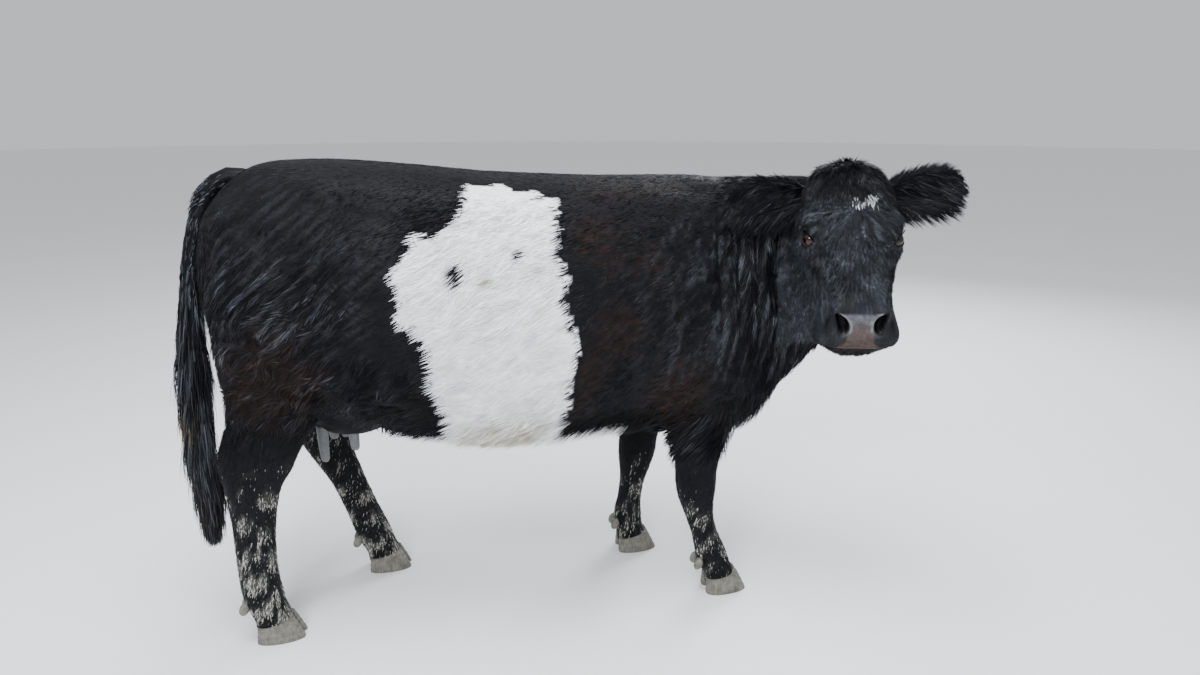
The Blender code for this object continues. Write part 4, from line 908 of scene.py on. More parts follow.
def painted_face_sheen(local, patches):
    """How much painted sheen shows on the face, in streaks that run round the whorl and down the nose, with
    painted highlights on the cheek and along the nose and painted shade on its bridge.
    """
    along, left, out = local.T
    angle = np.arctan2(left, along - WHORL)
    far = np.hypot(left, along - WHORL)
    round_whorl = waves(np.stack([angle * 0.070, far * 0.09, out * 0.08], 1), 0.0075, 63)
    down_nose = strands_along(local, (1.0, 0.0, 0.0), size=0.0065, seed=64)
    down_nose = down_nose * (1 - 0.75 * ramp(along, 0.35, 0.41))
    streaks = np.where(along < 0.20, round_whorl, down_nose)
    # Painted highlight on the cheek.
    cheek = ramp(out, -0.03, -0.07) * between(along, 0.12, 0.20, 0.32, 0.40)
    # Painted shade darkens the bridge of the nose on its right, and a painted highlight runs along its left.
    painted_shade_on_bridge = spot(along, left, (0.315, -0.028), (0.045, 0.036))
    painted_highlight_by_nose = spot(along, left, (0.335, 0.048), (0.060, 0.020))
    base = 0.14 + 0.22 * cheek + 0.28 * painted_highlight_by_nose - 0.10 * painted_shade_on_bridge
    return base + (0.64 - 0.40 * painted_shade_on_bridge) * ramp(streaks + 0.35 * patches, -0.3, 1.6)


def brown_share(points, mottled, fine):
    """How brown the black coat is: at the withers, on the chest and the thigh, and a little in patches."""
    x, _, z = points.T
    withers = 0.25 * ramp(z, 1.10, 1.20) * between(x, 0.05, 0.25, 0.42, 0.62)
    elbow = 0.7 * spot(x, z, (0.44, 0.66), (0.14, 0.16), outer=1.0, inner=0.2)
    thigh = 0.7 * spot(x, z, (-0.60, 0.76), (0.20, 0.20), outer=1.0, inner=0.2)
    chest = between(x, 0.12, 0.18, 0.34, 0.48) * between(z, 0.50, 0.62, 1.08, 1.17)
    chest = 0.55 * chest * ramp(mottled + 0.4 * fine, -0.5, 0.9)
    brown = np.maximum.reduce([withers, elbow, thigh, chest, 0.10 * ramp(mottled, 0.2, 1.2)])
    return np.clip(brown * (0.7 + 0.4 * fine), 0, 1)


def white_hair(points, mottled, fine):
    """The colour of the belt's hair: greyer in random patches, with painted shade in streaks along its
    strands, and soiled towards the belly.
    """
    x, y, z = points.T
    # Painted shade between the strands, in streaks along the hair.
    strands = strands_along(points, (-0.86, 0.0, -0.50), size=0.013, seed=13)
    grey_and_shade = 0.08 * ramp(fine, 0.2, 1.4) + 0.07 * ramp(mottled, 0.0, 1.2) + 0.19 * ramp(strands, 0.0, 1.5)
    soil = ramp(z, 0.66, 0.55) * between(x, -0.17, -0.06, 0.05, 0.14) * (0.50 + 0.35 * fine)
    smudge = 0.75 * spot(x, z, (-0.058, 0.991), (0.020, 0.014)) * (y < 0)
    white = WHITE * (1 - np.outer(grey_and_shade, GREY_AND_SHADE_TINT))
    return mixed(white, SOILED, np.clip(np.maximum(soil, smudge), 0, 1))


def mud_share(points, single):
    """Dry mud on the shanks: it clings to single tufts, here and there to many, and little to the skin."""
    x, _, z = points.T
    clinging = np.where(x < 0, ramp(z, 0.54, 0.34), ramp(z, 0.40, 0.20) * 0.55) * leg_share(points)
    streaks = 0.8 * strands_along(points, (0.10, 0.0, 1.0), size=0.010, seed=21)
    streaks = streaks + waves(points, size=0.070, seed=22)
    dry = clinging * (0.05 + 0.85 * ramp(streaks + 0.5 * ramp(z, 0.40, 0.15), 0.55, 1.25))
    if not single:
        return np.clip(dry * 0.10, 0, 1)
    chance = np.random.default_rng(23)
    return np.clip((chance.random(len(x)) < dry) * chance.uniform(0.35, 1.0, len(x)), 0, 1)


def pad_colour(local):
    """The colour of the bare pad: pink below, with a painted blue-grey reflection above, a painted highlight
    on the nostrils' inner rims, and painted shade at its sides and in the nostrils.
    """
    _, left, out = local.T
    far = nostril_share(local)
    inner = ramp(np.abs(left), 0.058, 0.044)
    low = ramp(out, -0.038, -0.056)
    shadowed = (1 - inner + 0.8 * low * ramp(np.abs(left), 0.020, 0.032)) * ramp(far, 1.75, 1.35)
    return layered(
        mixed(NOSE, NOSE_TOP_REFLECTION, ramp(out, -0.048, -0.022)),
        # Painted shade at the pad's sides by the nostrils, and below them.
        (BLACK * 2, (1 - inner) * ramp(far, 2.0, 1.4)),
        (BLACK * 2, np.clip(shadowed, 0, 1)),
        # A painted highlight on the nostrils' inner, upper rims.
        (NOSE_RIM_HIGHLIGHT, ramp(np.abs(far - 1.34), 0.26, 0.08) * inner * (1 - low)),
        # Painted shade inside the nostrils.
        (BLACK * 0.5, nostril_painted_shade(local)),
    )


def crease_shade_share(local):
    """1 where shade is painted in the folds round the eyes and beside the nostrils."""
    points = local * (1, 0, 1) + np.abs(local) * (0, 1, 0)
    found = np.zeros(len(points))
    for start, end, wide in CREASE_SHADE:
        start, run = np.array(start), np.array(end) - start
        share = np.clip((points - start) @ run / (run @ run), 0, 1)
        far = np.linalg.norm(points - start - share[:, None] * run, axis=1)
        found = np.maximum(found, np.exp(-((far / wide) ** 2)) * (0.5 + 0.5 * np.sin(np.pi * share)))
    return found


def coat_colour(points, single=False):
    """The colour of the coat or the bare skin at each point, or of single tufts that grow there."""
    local, head = in_head(points), head_share(points)
    mottled = waves(points, size=0.16, seed=11)
    fine = waves(points, size=0.030, seed=12)
    # Painted sheen lightens the black hair in streaks, partly as lighter hair.
    black = layered(BLACK, (BROWN, brown_share(points, mottled, fine)), (LIGHT_HAIR_AND_PAINTED_SHEEN, painted_sheen_share(points)))
    lips = ramp(np.abs(mouth_gap(local)), 0.0075, 0.0025) * head
    return layered(
        # Painted shade darkens the black hair in the folds of the face.
        black * (1 - 0.85 * crease_shade_share(local) * head)[:, None],
        (white_hair(points, mottled, fine), belt_share(points)),
        (WHITE * 0.95, star_share(local, head)),
        (DUST, mud_share(points, single)),
        (pad_colour(local), bare_share(local, head)),
        (CHIN, 0.75 * chin_share(local) * head),
        # Painted shade along the line between the lips.
        (BLACK * 0.5, lips * 0.95),
    )


def coat_at(points):
    """Length, half width, rise in degrees and density of the hair at each point."""
    x, _, z = points.T
    local, head = in_head(points), head_share(points)
    along, _, out = local.T
    brow = np.maximum(head, poll_share(local)) * ramp(along, 0.135, 0.070) * ramp(out, -0.13, -0.05)
    return layered(
        np.array(TRUNK_COAT),
        (BACK_COAT, ramp(z, 1.08, 1.18)),
        (BELT_COAT, between(x, -0.30, -0.22, 0.10, 0.17) * ramp(z, 1.20, 1.12)),
        (NECK_COAT, ramp(x, 0.56, 0.70)),
        (THIGH_COAT, ramp(x, -0.38, -0.52) * ramp(z, 1.10, 0.95) * ramp(z, 0.50, 0.62)),
        (BELLY_COAT, ramp(z, 0.66, 0.56) * ramp(x, -0.40, -0.30) * ramp(x, 0.46, 0.36)),
        (LEG_COAT, leg_share(points)),
        (UDDER_COAT, udder_share(points)),
        (FACE_COAT, head),
        (MUZZLE_COAT, head * ramp(along, 0.330, 0.390)),
        (CHIN_COAT, head * chin_share(local)),
        (BROW_COAT, brow),
    )


def leg_share(points):
    """1 on the legs below the trunk, 0 above them."""
    x, y, z = points.T
    hind = ramp(z, 0.66, 0.50) * (x < -0.30)
    fore = ramp(z, 0.50, 0.40) * (x > 0.25)
    return np.where(np.abs(y) > 0.04, np.maximum(hind, fore), 0.0)


def udder_share(points):
    x, y, z = points.T
    return spot(x, y, (-0.43, 0), (0.17, 0.12), outer=1.1, inner=0.9) * ramp(z, 0.66, 0.60)


def coat_depth(points):
    """How far the skin lies inside the coat's outer shape."""
    length, _, rise, _ = coat_at(points).T
    depth = np.minimum(length * np.sin(np.radians(rise)), 0.011)
    return depth * (1 - bare_share(in_head(points), head_share(points)))


def lie_at(points, normals):
    """The direction in which the hair lies at each point, along the surface."""
    x, _, _ = points.T
    zero = np.zeros(len(x))
    lie = layered(
        TRUNK_LIE,
        (RUMP_LIE, ramp(x, -0.30, -0.55)),
        (NECK_LIE, ramp(x, 0.50, 0.68)),
        (LEG_LIE, np.maximum(leg_share(points), ramp(x, -0.66, -0.72))),
    )
    for axis, (strength, size, seed) in enumerate(LIE_WAVES):
        lie[:, axis] += strength * waves(points, size, seed)
    # The coat of the thigh and the flank curls.
    curly = (1.05 * thigh_share(points))[:, None]
    lie += curly * np.stack([waves(points, size=0.060, seed=34), zero, waves(points, size=0.060, seed=35)], 1)
    # On the head it runs out from a whorl between the eyes, and back and down over the cheeks.
    local = in_head(points)
    along, left, out = local.T
    onward, sideways = np.clip((along - WHORL) / 0.05, -1, 1), np.clip(left / 0.06, -1, 1)
    from_whorl = np.stack([onward, sideways * 0.7, zero], 1)
    cheek = np.stack([0.30 + 1.2 * ramp(along, 0.26, 0.40), zero, zero - 1], 1)
    on_head = mixed(cheek, from_whorl, ramp(out, -0.085, -0.030)) @ head_turn().T
    lie = mixed(lie, on_head, np.maximum(head_share(points), poll_share(local)))
    return unit(along_surface(lie, normals))


def row_shift():
    """The way from the cow's own origin, between its hooves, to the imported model's."""
    low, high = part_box("eye_right")
    return (low + high) / 2 - eye_place(-1)


def coordinates(mesh):
    """The mesh's points, in the cow's own frame."""
    found = np.empty(len(mesh.vertices) * 3)
    mesh.vertices.foreach_get("co", found)
    return found.reshape(-1, 3)


def normals_of(mesh):
    found = np.empty(len(mesh.vertices) * 3)
    mesh.vertices.foreach_get("normal", found)
    return found.reshape(-1, 3)


def move_to(mesh, points):
    mesh.vertices.foreach_set("co", points.ravel())
    mesh.update()


def put_in_row(obj):
    """Moves the finished mesh from the cow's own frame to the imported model's."""
    move_to(obj.data, coordinates(obj.data) + np.array(row_shift()))
    return obj


def colour_layer(mesh, name, colours):
    """Gives each point of the mesh its colour, under that name."""
    layer = mesh.color_attributes.new(name, "FLOAT_COLOR", "POINT")
    solid = np.hstack([colours, np.ones((len(colours), 1))])
    layer.data.foreach_set("color", solid.ravel())


def share_layer(mesh, name, values):
    mesh.attributes.new(name, "FLOAT", "POINT").data.foreach_set("value", values)


def pushed(mesh, forms, frame, sides=(1, -1)):
    """Raises or sinks each form of the list along the surface's own normals."""
    points, normals = coordinates(mesh), normals_of(mesh)
    inverse = np.array(frame.inverted())
    local = points @ inverse[:3, :3].T + inverse[:3, 3]
    move = np.zeros(len(points))
    for f in forms:
        for side in sides:
            away = (local - (f.x, side * f.y, f.z)) / (f.rx, f.ry, f.rz)
            move += f.push * np.exp(-(away**2).sum(1))
    move_to(mesh, points + normals * move[:, None])


def flesh():
    """The whole body as one smooth closed mesh: trunk, neck, head, legs and udder, blended."""
    masses = [trunk(), neck(), head()]
    masses += [leg(*LEGS[name]) for name in LEGS]
    masses.append(turned_ball(UDDER_PLACE, Matrix.Identity(3), UDDER_RADII, 20, 12))
    body = joined(masses, "skin")
    grid = body.modifiers.new("one_surface", "REMESH")
    grid.mode = "VOXEL"
    grid.voxel_size = VOXEL
    blend = body.modifiers.new("blend", "SMOOTH")
    blend.factor = 0.5
    blend.iterations = BLEND_ROUNDS
    return settled(body)


def on_head(local):
    return local.x > FINE_BACK and abs(local.y) < FINE_HALF and local.z > FINE_DEEP


def on_features(local):
    """True by the eyes and on the muzzle, where the skin is finest."""
    by_eye = (local - eye_centre(math.copysign(1, local.y))).length < FINE_BY_EYE
    return by_eye or (local.x > MUZZLE_BACK and abs(local.y) < FINE_HALF and local.z > MUZZLE_DEEP)


def refine(body):
    """Gives the head a finer mesh than the body, and the eyes, nose and lips a finer one still."""
    bm = bmesh.new()
    bm.from_mesh(body.data)
    inverse = head_frame().inverted()
    for zone, rounds in ((on_head, 3), (on_features, 2)):
        fine = {v for v in bm.verts if zone(inverse @ v.co)}
        edges = [e for e in bm.edges if e.verts[0] in fine and e.verts[1] in fine]
        bmesh.ops.subdivide_edges(bm, edges=edges, cuts=1, use_grid_fill=True)
        near = [v for v in bm.verts if zone(inverse @ v.co)]
        for _ in range(rounds):
            bmesh.ops.smooth_vert(
                bm, verts=near, factor=0.5, use_axis_x=True, use_axis_y=True, use_axis_z=True
            )
    bmesh.ops.triangulate(bm, faces=bm.faces)
    bm.to_mesh(body.data)
    bm.free()


def opening_share(away, side):
    """How far each point is from the middle of the eye's opening, 1 at its edge, far off behind the eye."""
    gaze, long, up = (np.array(a) for a in eye_axes(side))
    far = np.hypot(away @ long / LID_LONG, away @ up / LID_HIGH)
    return np.where((away @ gaze > 0) & (np.linalg.norm(away, axis=1) < 0.05), far, FAR_OFF)


def socketed(local):
    """The head's points, moved to make each eye's socket and to clear its ball."""
    for side in (-1, 1):
        centre = np.array(eye_centre(side))
        away = local - centre
        far = np.linalg.norm(away, axis=1)
        share = ramp(opening_share(away, side), 0.85, 1.25)
        front = away @ np.array(eye_axes(side)[0]) > -0.004
        covered = np.maximum(far, EYE_RADIUS + SOCKET_CLEARANCE)
        wanted = EYE_RADIUS * SOCKET_FLOOR * (1 - share) + covered * share
        radius = np.where(front & (far < SOCKET_REACH), wanted, far)
        local = centre + away * (radius / np.maximum(far, 1e-6))[:, None]
    return local


def face_cut(local, normals):
    """The head's points, pushed in at the nostrils and along the line of the mouth."""
    for side in (-1, 1):
        inward = nostril_axes(side)[2]
        far = nostril_far(local, side)
        hole = ramp(far, 1.12, 0.55)
        rim = np.exp(-(((far - 1.45) / 0.30) ** 2))
        local = local + inward * (hole * NOSTRIL_DEEP - rim * NOSTRIL_RIM)[:, None]
    gap = mouth_gap(local)
    groove = np.exp(-((gap / 0.0032) ** 2)) * MOUTH_DEEP
    lips = np.exp(-(((np.abs(gap) - 0.0085) / 0.006) ** 2)) * LIP_SWELL
    return local + normals * (lips - groove)[:, None]


def smart_unwrap(obj, name):
    """Gives the mesh a UV map of that name in which no two places meet."""
    bpy.context.view_layer.objects.active = obj
    for other in bpy.context.view_layer.objects:
        other.select_set(other == obj)
    obj.data.uv_layers.new(name=name)
    bpy.ops.object.mode_set(mode="EDIT")
    bpy.ops.mesh.select_all(action="SELECT")
    bpy.ops.uv.smart_project(angle_limit=math.radians(72), island_margin=0.002)
    bpy.ops.object.mode_set(mode="OBJECT")


def made_skin():
    """The skin of body, head and legs in one piece, inside the coat."""
    body = flesh()
    refine(body)
    mesh = body.data
    pushed(mesh, BODY_FORMS, Matrix())
    pushed(mesh, HEAD_FORMS + FACE_FORMS, head_frame())
    pushed(mesh, NECK_FOLDS, Matrix(), (1,))
    points, normals = coordinates(mesh), normals_of(mesh)
    move_to(mesh, points - normals * coat_depth(points)[:, None])
    points, normals = coordinates(mesh), normals_of(mesh)
    local = in_head(points)
    near = (local[:, 0] > FACE_BACK) & (np.abs(local[:, 1]) < FINE_HALF) & (points[:, 2] > HEAD_ZONE_LOW)
    changed = socketed(face_cut(local, normals @ head_turn()))
    moved = changed @ head_turn().T + np.array(POLL)
    move_to(mesh, np.where(near[:, None], moved, points))
    points = coordinates(mesh)
    local = in_head(points)
    colour_layer(mesh, "coat", coat_colour(points))
    bare = bare_share(local, head_share(points)) * (1 - nostril_painted_shade(local))
    share_layer(mesh, "bare", bare)
    inner = ramp(np.abs(local[:, 1]), 0.056, 0.040)
    share_layer(mesh, "wet", bare * inner * (0.25 + 0.75 * ramp(local[:, 2], -0.075, -0.040)))
    mesh.shade_smooth()
    smart_unwrap(body, "unwrap")
    return body


def lid_roll(side, up):
    """One eyelid: a soft roll over the ball of the eye, from corner to corner, thickest at its rim."""
    place, centre = head_frame(), eye_centre(side)
    gaze, long, across = eye_axes(side)
    rings = []
    for k in range(LID_STATIONS):
        turn = math.radians(LID_REACH * (2 * k / (LID_STATIONS - 1) - 1))
        lift = math.radians(LID_LIFT[up]) * max(math.cos(turn), 0.0) ** 0.8
        spoke = gaze * math.cos(turn) * math.cos(lift) + long * math.sin(turn) + across * math.sin(lift) * up
        spoke.normalize()
        thick = LID_THICK * (0.40 + 0.60 * math.cos(turn))
        away = (across * up - spoke * (across * up).dot(spoke)).normalized()
        rings.append(
            [
                place @ (centre + spoke * (EYE_RADIUS + outward * thick - 0.0004) + away * apart * thick)
                for outward, apart in LID_PROFILE
            ]
        )
    return loft(rings)


def joined(pieces, name):
    """One mesh object of all the bmesh pieces, each freed."""
    bm = bmesh.new()
    for piece in pieces:
        mesh = bpy.data.meshes.new("piece")
        piece.to_mesh(mesh)
        piece.free()
        bm.from_mesh(mesh)
        bpy.data.meshes.remove(mesh)
    return object_of(bm, name)


def eye_colours(obj):
    """Paints pupil, iris and white on the balls of both eyes, by the angle from where each looks."""
    local = in_head(coordinates(obj.data))
    found = np.zeros((len(local), 3))
    for side in (-1, 1):
        _, long, up = (np.array(a) for a in eye_axes(side))
        away = (local - np.array(eye_centre(side))) / EYE_RADIUS
        flat, high = away @ long, away @ up
        far = np.hypot(flat, high)
        angle = np.arctan2(high, flat)
        streaks = 0.5 + 0.5 * np.sin(angle * 46 + 2.0 * np.sin(angle * 9))
        colour = layered(
            IRIS_DARK,
            (IRIS_LIGHT, streaks * ramp(far, 0.20, 0.62)),
            (BLACK * 0.2, ramp(np.hypot(flat / PUPIL_LONG, high / PUPIL_HIGH), 1.08, 0.95)),
            (EYE_WHITE, ramp(far, 0.84, 0.92)),
            (BLACK, np.exp(-(((far - 0.87) / 0.04) ** 2)) * 0.85),
        )
        found = np.where((local[:, 1] * side > 0)[:, None], colour, found)
    colour_layer(obj.data, "tint", found)


def ear_leaf(side):
    """The ear as a fine cupped leaf with a rolled root, a little inside its coat."""
    _, faces, across = ear_axes(side)
    rings = []
    for k in range(EAR_RINGS):
        share = k / (EAR_RINGS - 1)
        place, cup, radius, thick = ear_shape(side, share)
        thick *= 0.7
        ring = []
        for inner in (False, True):
            r = radius - thick if inner else radius
            for j in range(EAR_SPREAD):
                angle = EAR_LEAF * cup * (j / (EAR_SPREAD - 1) * 2 - 1) * (0.97 if inner else 1)
                vein = EAR_VEIN * math.cos(angle * 13) * math.sin(math.pi * share)
                ring.append(
                    place + across * (r + vein) * math.sin(-angle if inner else angle)
                    - faces * ((r + vein) * math.cos(angle) - radius * math.cos(cup))
                )
        rings.append(ring)
    return loft(rings)


def ear_places(points, side):
    """Share along the ear and place across it, from -1 to 1 upward, of each point."""
    tip, _, across = (np.array(a) for a in ear_axes(side))
    if across[2] < 0:
        across = -across
    away = points - np.array(ear_root(side))
    share = np.clip(away @ tip / EAR_LENGTH, 0, 1)
    return share, np.clip(away @ across / np.interp(share, *EAR_HALF_WIDTH), -1, 1)


def claw(leg_name, side):
    """One half of a cloven hoof, flat below, with rings of growth, its top on the foot's sloping plane."""
    rows, track = LEGS[leg_name]
    centre = rows[-1].x
    rings = []
    for k in range(CLAW_RINGS):
        share = k / (CLAW_RINGS - 1)
        under = max(0.0, 1 - share / 0.10) ** 2 * 0.003
        ripple = 0.0007 * math.sin(share * 31 + 2 * math.sin(share * 7))
        toe = centre + CLAW_TOE - CLAW_SLOPE * share - under + ripple
        back = centre - CLAW_HEEL + 0.004 * share + under - ripple
        bulge = CLAW_WIDE - 0.005 * share - under + ripple
        outline = claw_outline(back, toe, CLAW_GAP + under, bulge, side, 36)
        rings.append([Vector((x, track + y, share * foot_plane(x, centre))) for x, y in outline])
    return loft(rings)


def foot_plane(x, centre):
    """Height of the sloping top of the hooves at x, for a foot round centre."""
    return CORONET_HEIGHT + CORONET_SLOPE * (x - centre)


def dewclaw(leg_name, side):
    """A small horn behind the fetlock, pointing down and back."""
    rows, track = LEGS[leg_name]
    fetlock = rows[-3]
    centre = Vector((fetlock.x - fetlock.deep + 0.006, track + side * 0.021, fetlock.z - 0.020))
    down = Vector((-0.45, 0, -1)).normalized()
    across = Vector((0, 1, 0))
    return turned_ball(centre, (across, across.cross(down), down), (0.012, 0.013, 0.019), 24, 16)


def teat(x, y, length):
    """A teat, hanging from the udder, with a blunt end."""
    rows = [TailSlice(x, y, TEAT_TOP + 0.015, 0.0170, 0.0170)]
    for forward, outward, share, half in TEAT_PROFILE:
        rows.append(TailSlice(x + forward, y * outward, TEAT_TOP - share * length, half, half))
    return loft(tube_of([TailSlice(*r) for r in smooth_rows(rows, 5)], 20))


def tail_core():
    """The fleshy part of the tail, inside its hair."""
    rows = [s._replace(half=s.half * TAIL_FLESH, deep=s.deep * TAIL_FLESH) for s in tail_rows()]
    return loft(tube_of(rows, 20))


# Places on a mesh that hair grows from: where, the surface's own way out, and the spot on the unwrap.
Roots = namedtuple("Roots", "points normals spots")


def sampled(piece, weights_at, count, seed):
    """Random places on the piece, as many on each face as its size and the weights of its points ask for."""
    mesh = piece.data
    mesh.calc_loop_triangles()
    total = len(mesh.loop_triangles)
    corners, loops = np.empty(total * 3, np.int32), np.empty(total * 3, np.int32)
    mesh.loop_triangles.foreach_get("vertices", corners)
    mesh.loop_triangles.foreach_get("loops", loops)
    corners, loops = corners.reshape(-1, 3), loops.reshape(-1, 3)
    points, normals = coordinates(mesh) - np.array(row_shift()), normals_of(mesh)
    spots = np.empty(len(mesh.loops) * 2)
    mesh.uv_layers[0].data.foreach_get("uv", spots)
    spots = spots.reshape(-1, 2)
    a, b, c = (points[corners[:, k]] for k in range(3))
    size = np.linalg.norm(np.cross(b - a, c - a), axis=1) * weights_at(points)[corners].mean(1)
    run = np.cumsum(size)
    rng = np.random.default_rng(seed)
    # Each pick strays by a few faces, so that the tufts stand in no rows.
    stray = np.clip(np.arange(count) + rng.uniform(-4, 5, count), 0.5, count - 0.5)
    picks = np.minimum(np.searchsorted(run, stray / count * run[-1]), total - 1)
    u, v = rng.random(count), rng.random(count)
    fold = u + v > 1
    u, v = np.where(fold, 1 - u, u), np.where(fold, 1 - v, v)
    shares = np.stack([1 - u - v, u, v], 1)[:, :, None]
    return Roots(
        (points[corners[picks]] * shares).sum(1),
        unit((normals[corners[picks]] * shares).sum(1)),
        (spots[loops[picks]] * shares).sum(1),
    )


def by_darkness(colours, dark, white):
    """A value for each colour, from the one for dark hair to the one for white hair."""
    return dark - (dark - white) * np.clip(colours.mean(1, keepdims=True) / 0.5, 0, 1)


def gathered(roots, tips, pull, every, seed):
    """Tips drawn towards the tip of a guide tuft nearby, and a shade that each lock has for itself."""
    rng = np.random.default_rng(seed)
    guides = rng.permutation(len(roots))[:: every]
    tree = KDTree(len(guides))
    for k, guide in enumerate(guides):
        tree.insert(roots[guide], k)
    tree.balance()
    lie = unit(tips - roots)
    nearest = np.empty(len(roots), int)
    for k, root in enumerate(roots):
        # Locks are long: a guide that lies ahead or behind counts as nearer than one beside.
        found = tree.find_n(root, 4)
        away = np.array([place for place, _, _ in found]) - root
        along = away @ lie[k]
        apart = (away**2).sum(1) - 0.85 * along**2
        nearest[k] = found[apart.argmin()][1]
    shade = rng.normal(0, 1, len(guides))[nearest]
    nearest = guides[nearest]
    return tips + (tips[nearest] - tips) * (pull * rng.uniform(0.3, 1.0, len(roots)))[:, None], shade


def tuft_mesh(name, roots, tips, half, bend, sections, colours, seed):
    """Closed tapered tufts in one mesh: each has a three-sided root, bent sections and a tip."""
    count = len(tips)
    along = tips - roots.points
    length = np.linalg.norm(along, axis=1)
    along = unit(along)
    across = unit(np.cross(roots.normals, along))
    ridge = np.cross(along, across)
    starts = roots.points - roots.normals * ROOT_DEPTH
    per_tuft = 3 * sections + 1
    verts = np.empty((count, per_tuft, 3))
    for s in range(sections):
        share = s / sections
        middle = starts + along * (length * share)[:, None] + bend * (length * (share**2 - share))[:, None]
        wide = half * (1.0 if s == 0 else 1.1 - 0.6 * share)
        for c, (side, up) in enumerate(((-1, 0), (1, 0), (0, 0.6))):
            verts[:, 3 * s + c] = middle + across * (side * wide)[:, None] + ridge * (up * wide)[:, None]
    verts[:, -1] = starts + along * length[:, None]
    verts[:, :, 2] = np.maximum(verts[:, :, 2], LOWEST_HAIR)
    faces = [(0, 2, 1)]
    for s in range(sections - 1):
        for c in range(3):
            low, next_low = 3 * s + c, 3 * s + (c + 1) % 3
            faces += [(low, next_low, next_low + 3), (low, next_low + 3, low + 3)]
    last = 3 * (sections - 1)
    faces += [(last + c, last + (c + 1) % 3, per_tuft - 1) for c in range(3)]
    corners = (np.array(faces)[None] + (np.arange(count) * per_tuft)[:, None, None]).ravel()
    mesh = bpy.data.meshes.new(name)
    mesh.vertices.add(count * per_tuft)
    mesh.vertices.foreach_set("co", (verts.reshape(-1, 3) + np.array(row_shift())).ravel())
    mesh.loops.add(len(corners))
    mesh.loops.foreach_set("vertex_index", corners)
    mesh.polygons.add(len(corners) // 3)
    mesh.polygons.foreach_set("loop_start", np.arange(0, len(corners), 3))
    mesh.update(calc_edges=True)
    # Dark hair varies more from tuft to tuft than white hair.
    luck = np.random.default_rng(seed).normal(0, 1, (count, 1))
    shade = np.exp(by_darkness(colours, 0.38, 0.08) * luck)
    colour_layer(mesh, "coat", np.repeat(colours * shade, per_tuft, 0))
    # Each tuft keeps to its own small patch of the unwrap.
    turn = np.arange(per_tuft) * 2.4
    patch = PATCH_RADIUS * np.stack([np.cos(turn), np.sin(turn)], 1)
    spots = roots.spots[:, None] + patch[None]
    layer = mesh.uv_layers.new(name="OFBake")
    layer.data.foreach_set("uv", spots.reshape(-1, 2)[corners].ravel())
    mesh.shade_flat()
    obj = bpy.data.objects.new(name, mesh)
    bpy.context.scene.collection.objects.link(obj)
    return obj


def in_pieces(name, roots, tips, half, bend, sections, colours):
    """The tufts as pieces of fewer than 200,000 triangles each, from the rear to the front."""
    each = 1 + 6 * (sections - 1) + 3
    most = PIECE_TRIANGLES // each
    order = np.argsort(roots.points[:, 0])
    pieces = []
    for k, start in enumerate(range(0, len(order), most)):
        some = order[start : start + most]
        part = Roots(*(field[some] for field in roots))
        label = name if len(order) <= most else f"{name}_{k + 1}"
        pieces.append(tuft_mesh(label, part, tips[some], half[some], bend[some], sections, colours[some], k))
    return pieces


def shaded(colours, shade):
    """The colours, darker or lighter by each lock's own shade, and dark hair more so than white."""
    return colours * np.exp(by_darkness(colours, 0.30, 0.06) * shade[:, None])


def tips_of(roots, lie, length, rise):
    """Where tufts of that length end that leave the skin along their lie, at that rise in degrees."""
    slope = np.radians(rise)
    way = lie * np.cos(slope)[:, None] + roots.normals * np.sin(slope)[:, None]
    return roots.points + way * length[:, None]


def hair_weights(points):
    """How thick the hair stands at each point of the skin, and 0 on the bare skin, the eyes and the mouth."""
    local = in_head(points)
    weight = coat_at(points)[:, 3] * (1 - ramp(bare_share(local, head_share(points)), 0.1, 0.5))
    weight *= ramp(np.abs(mouth_gap(local)), 0.002, 0.005)
    for side in (-1, 1):
        weight *= ramp(opening_share(local - np.array(eye_centre(side)), side), 1.25, 1.45)
    for rows, track in LEGS.values():
        foot = np.hypot(points[:, 0] - rows[-1].x, points[:, 1] - track) < 0.12
        weight *= 1 - foot * (points[:, 2] < foot_plane(points[:, 0], rows[-1].x) - 0.006)
    return weight


def short_coat(skin, settings):
    """The straight tufts all over the body, head and legs."""
    roots = sampled(skin, hair_weights, settings.tufts, seed=1)
    length, half, rise, _ = coat_at(roots.points).T
    rng = np.random.default_rng(2)
    count = len(length)
    length = length * settings.length * rng.uniform(0.70, 1.20, count)
    rise = rise * rng.uniform(0.45, 1.50, count)
    lie = lie_at(roots.points, roots.normals)
    side = np.cross(roots.normals, lie)
    lie = unit(lie + side * rng.normal(0, 0.10, count)[:, None])
    tips = tips_of(roots, lie, length, rise)
    by_belt = between(roots.points[:, 0], -0.36, -0.30, 0.18, 0.24)
    pull = settings.clump * (1 + 0.8 * head_share(roots.points)) * (1 - 0.5 * by_belt)
    tips, shade = gathered(roots.points, tips, pull, every=22, seed=3)
    half = half * rng.uniform(0.75, 1.25, count)
    colours = shaded(coat_colour(roots.points, True), shade)
    return in_pieces("coat", roots, tips, half, np.zeros((count, 3)), 1, colours)


def thigh_share(points):
    """1 on the thigh and the flank, where the coat is shaggy."""
    x, _, z = points.T
    thigh = ramp(x, -0.42, -0.54) * ramp(z, 0.56, 0.66) * ramp(z, 1.00, 0.86)
    return np.maximum(thigh, 0.8 * spot(x, z, (-0.36, 0.68), (0.15, 0.16), outer=1.1, inner=0.5))


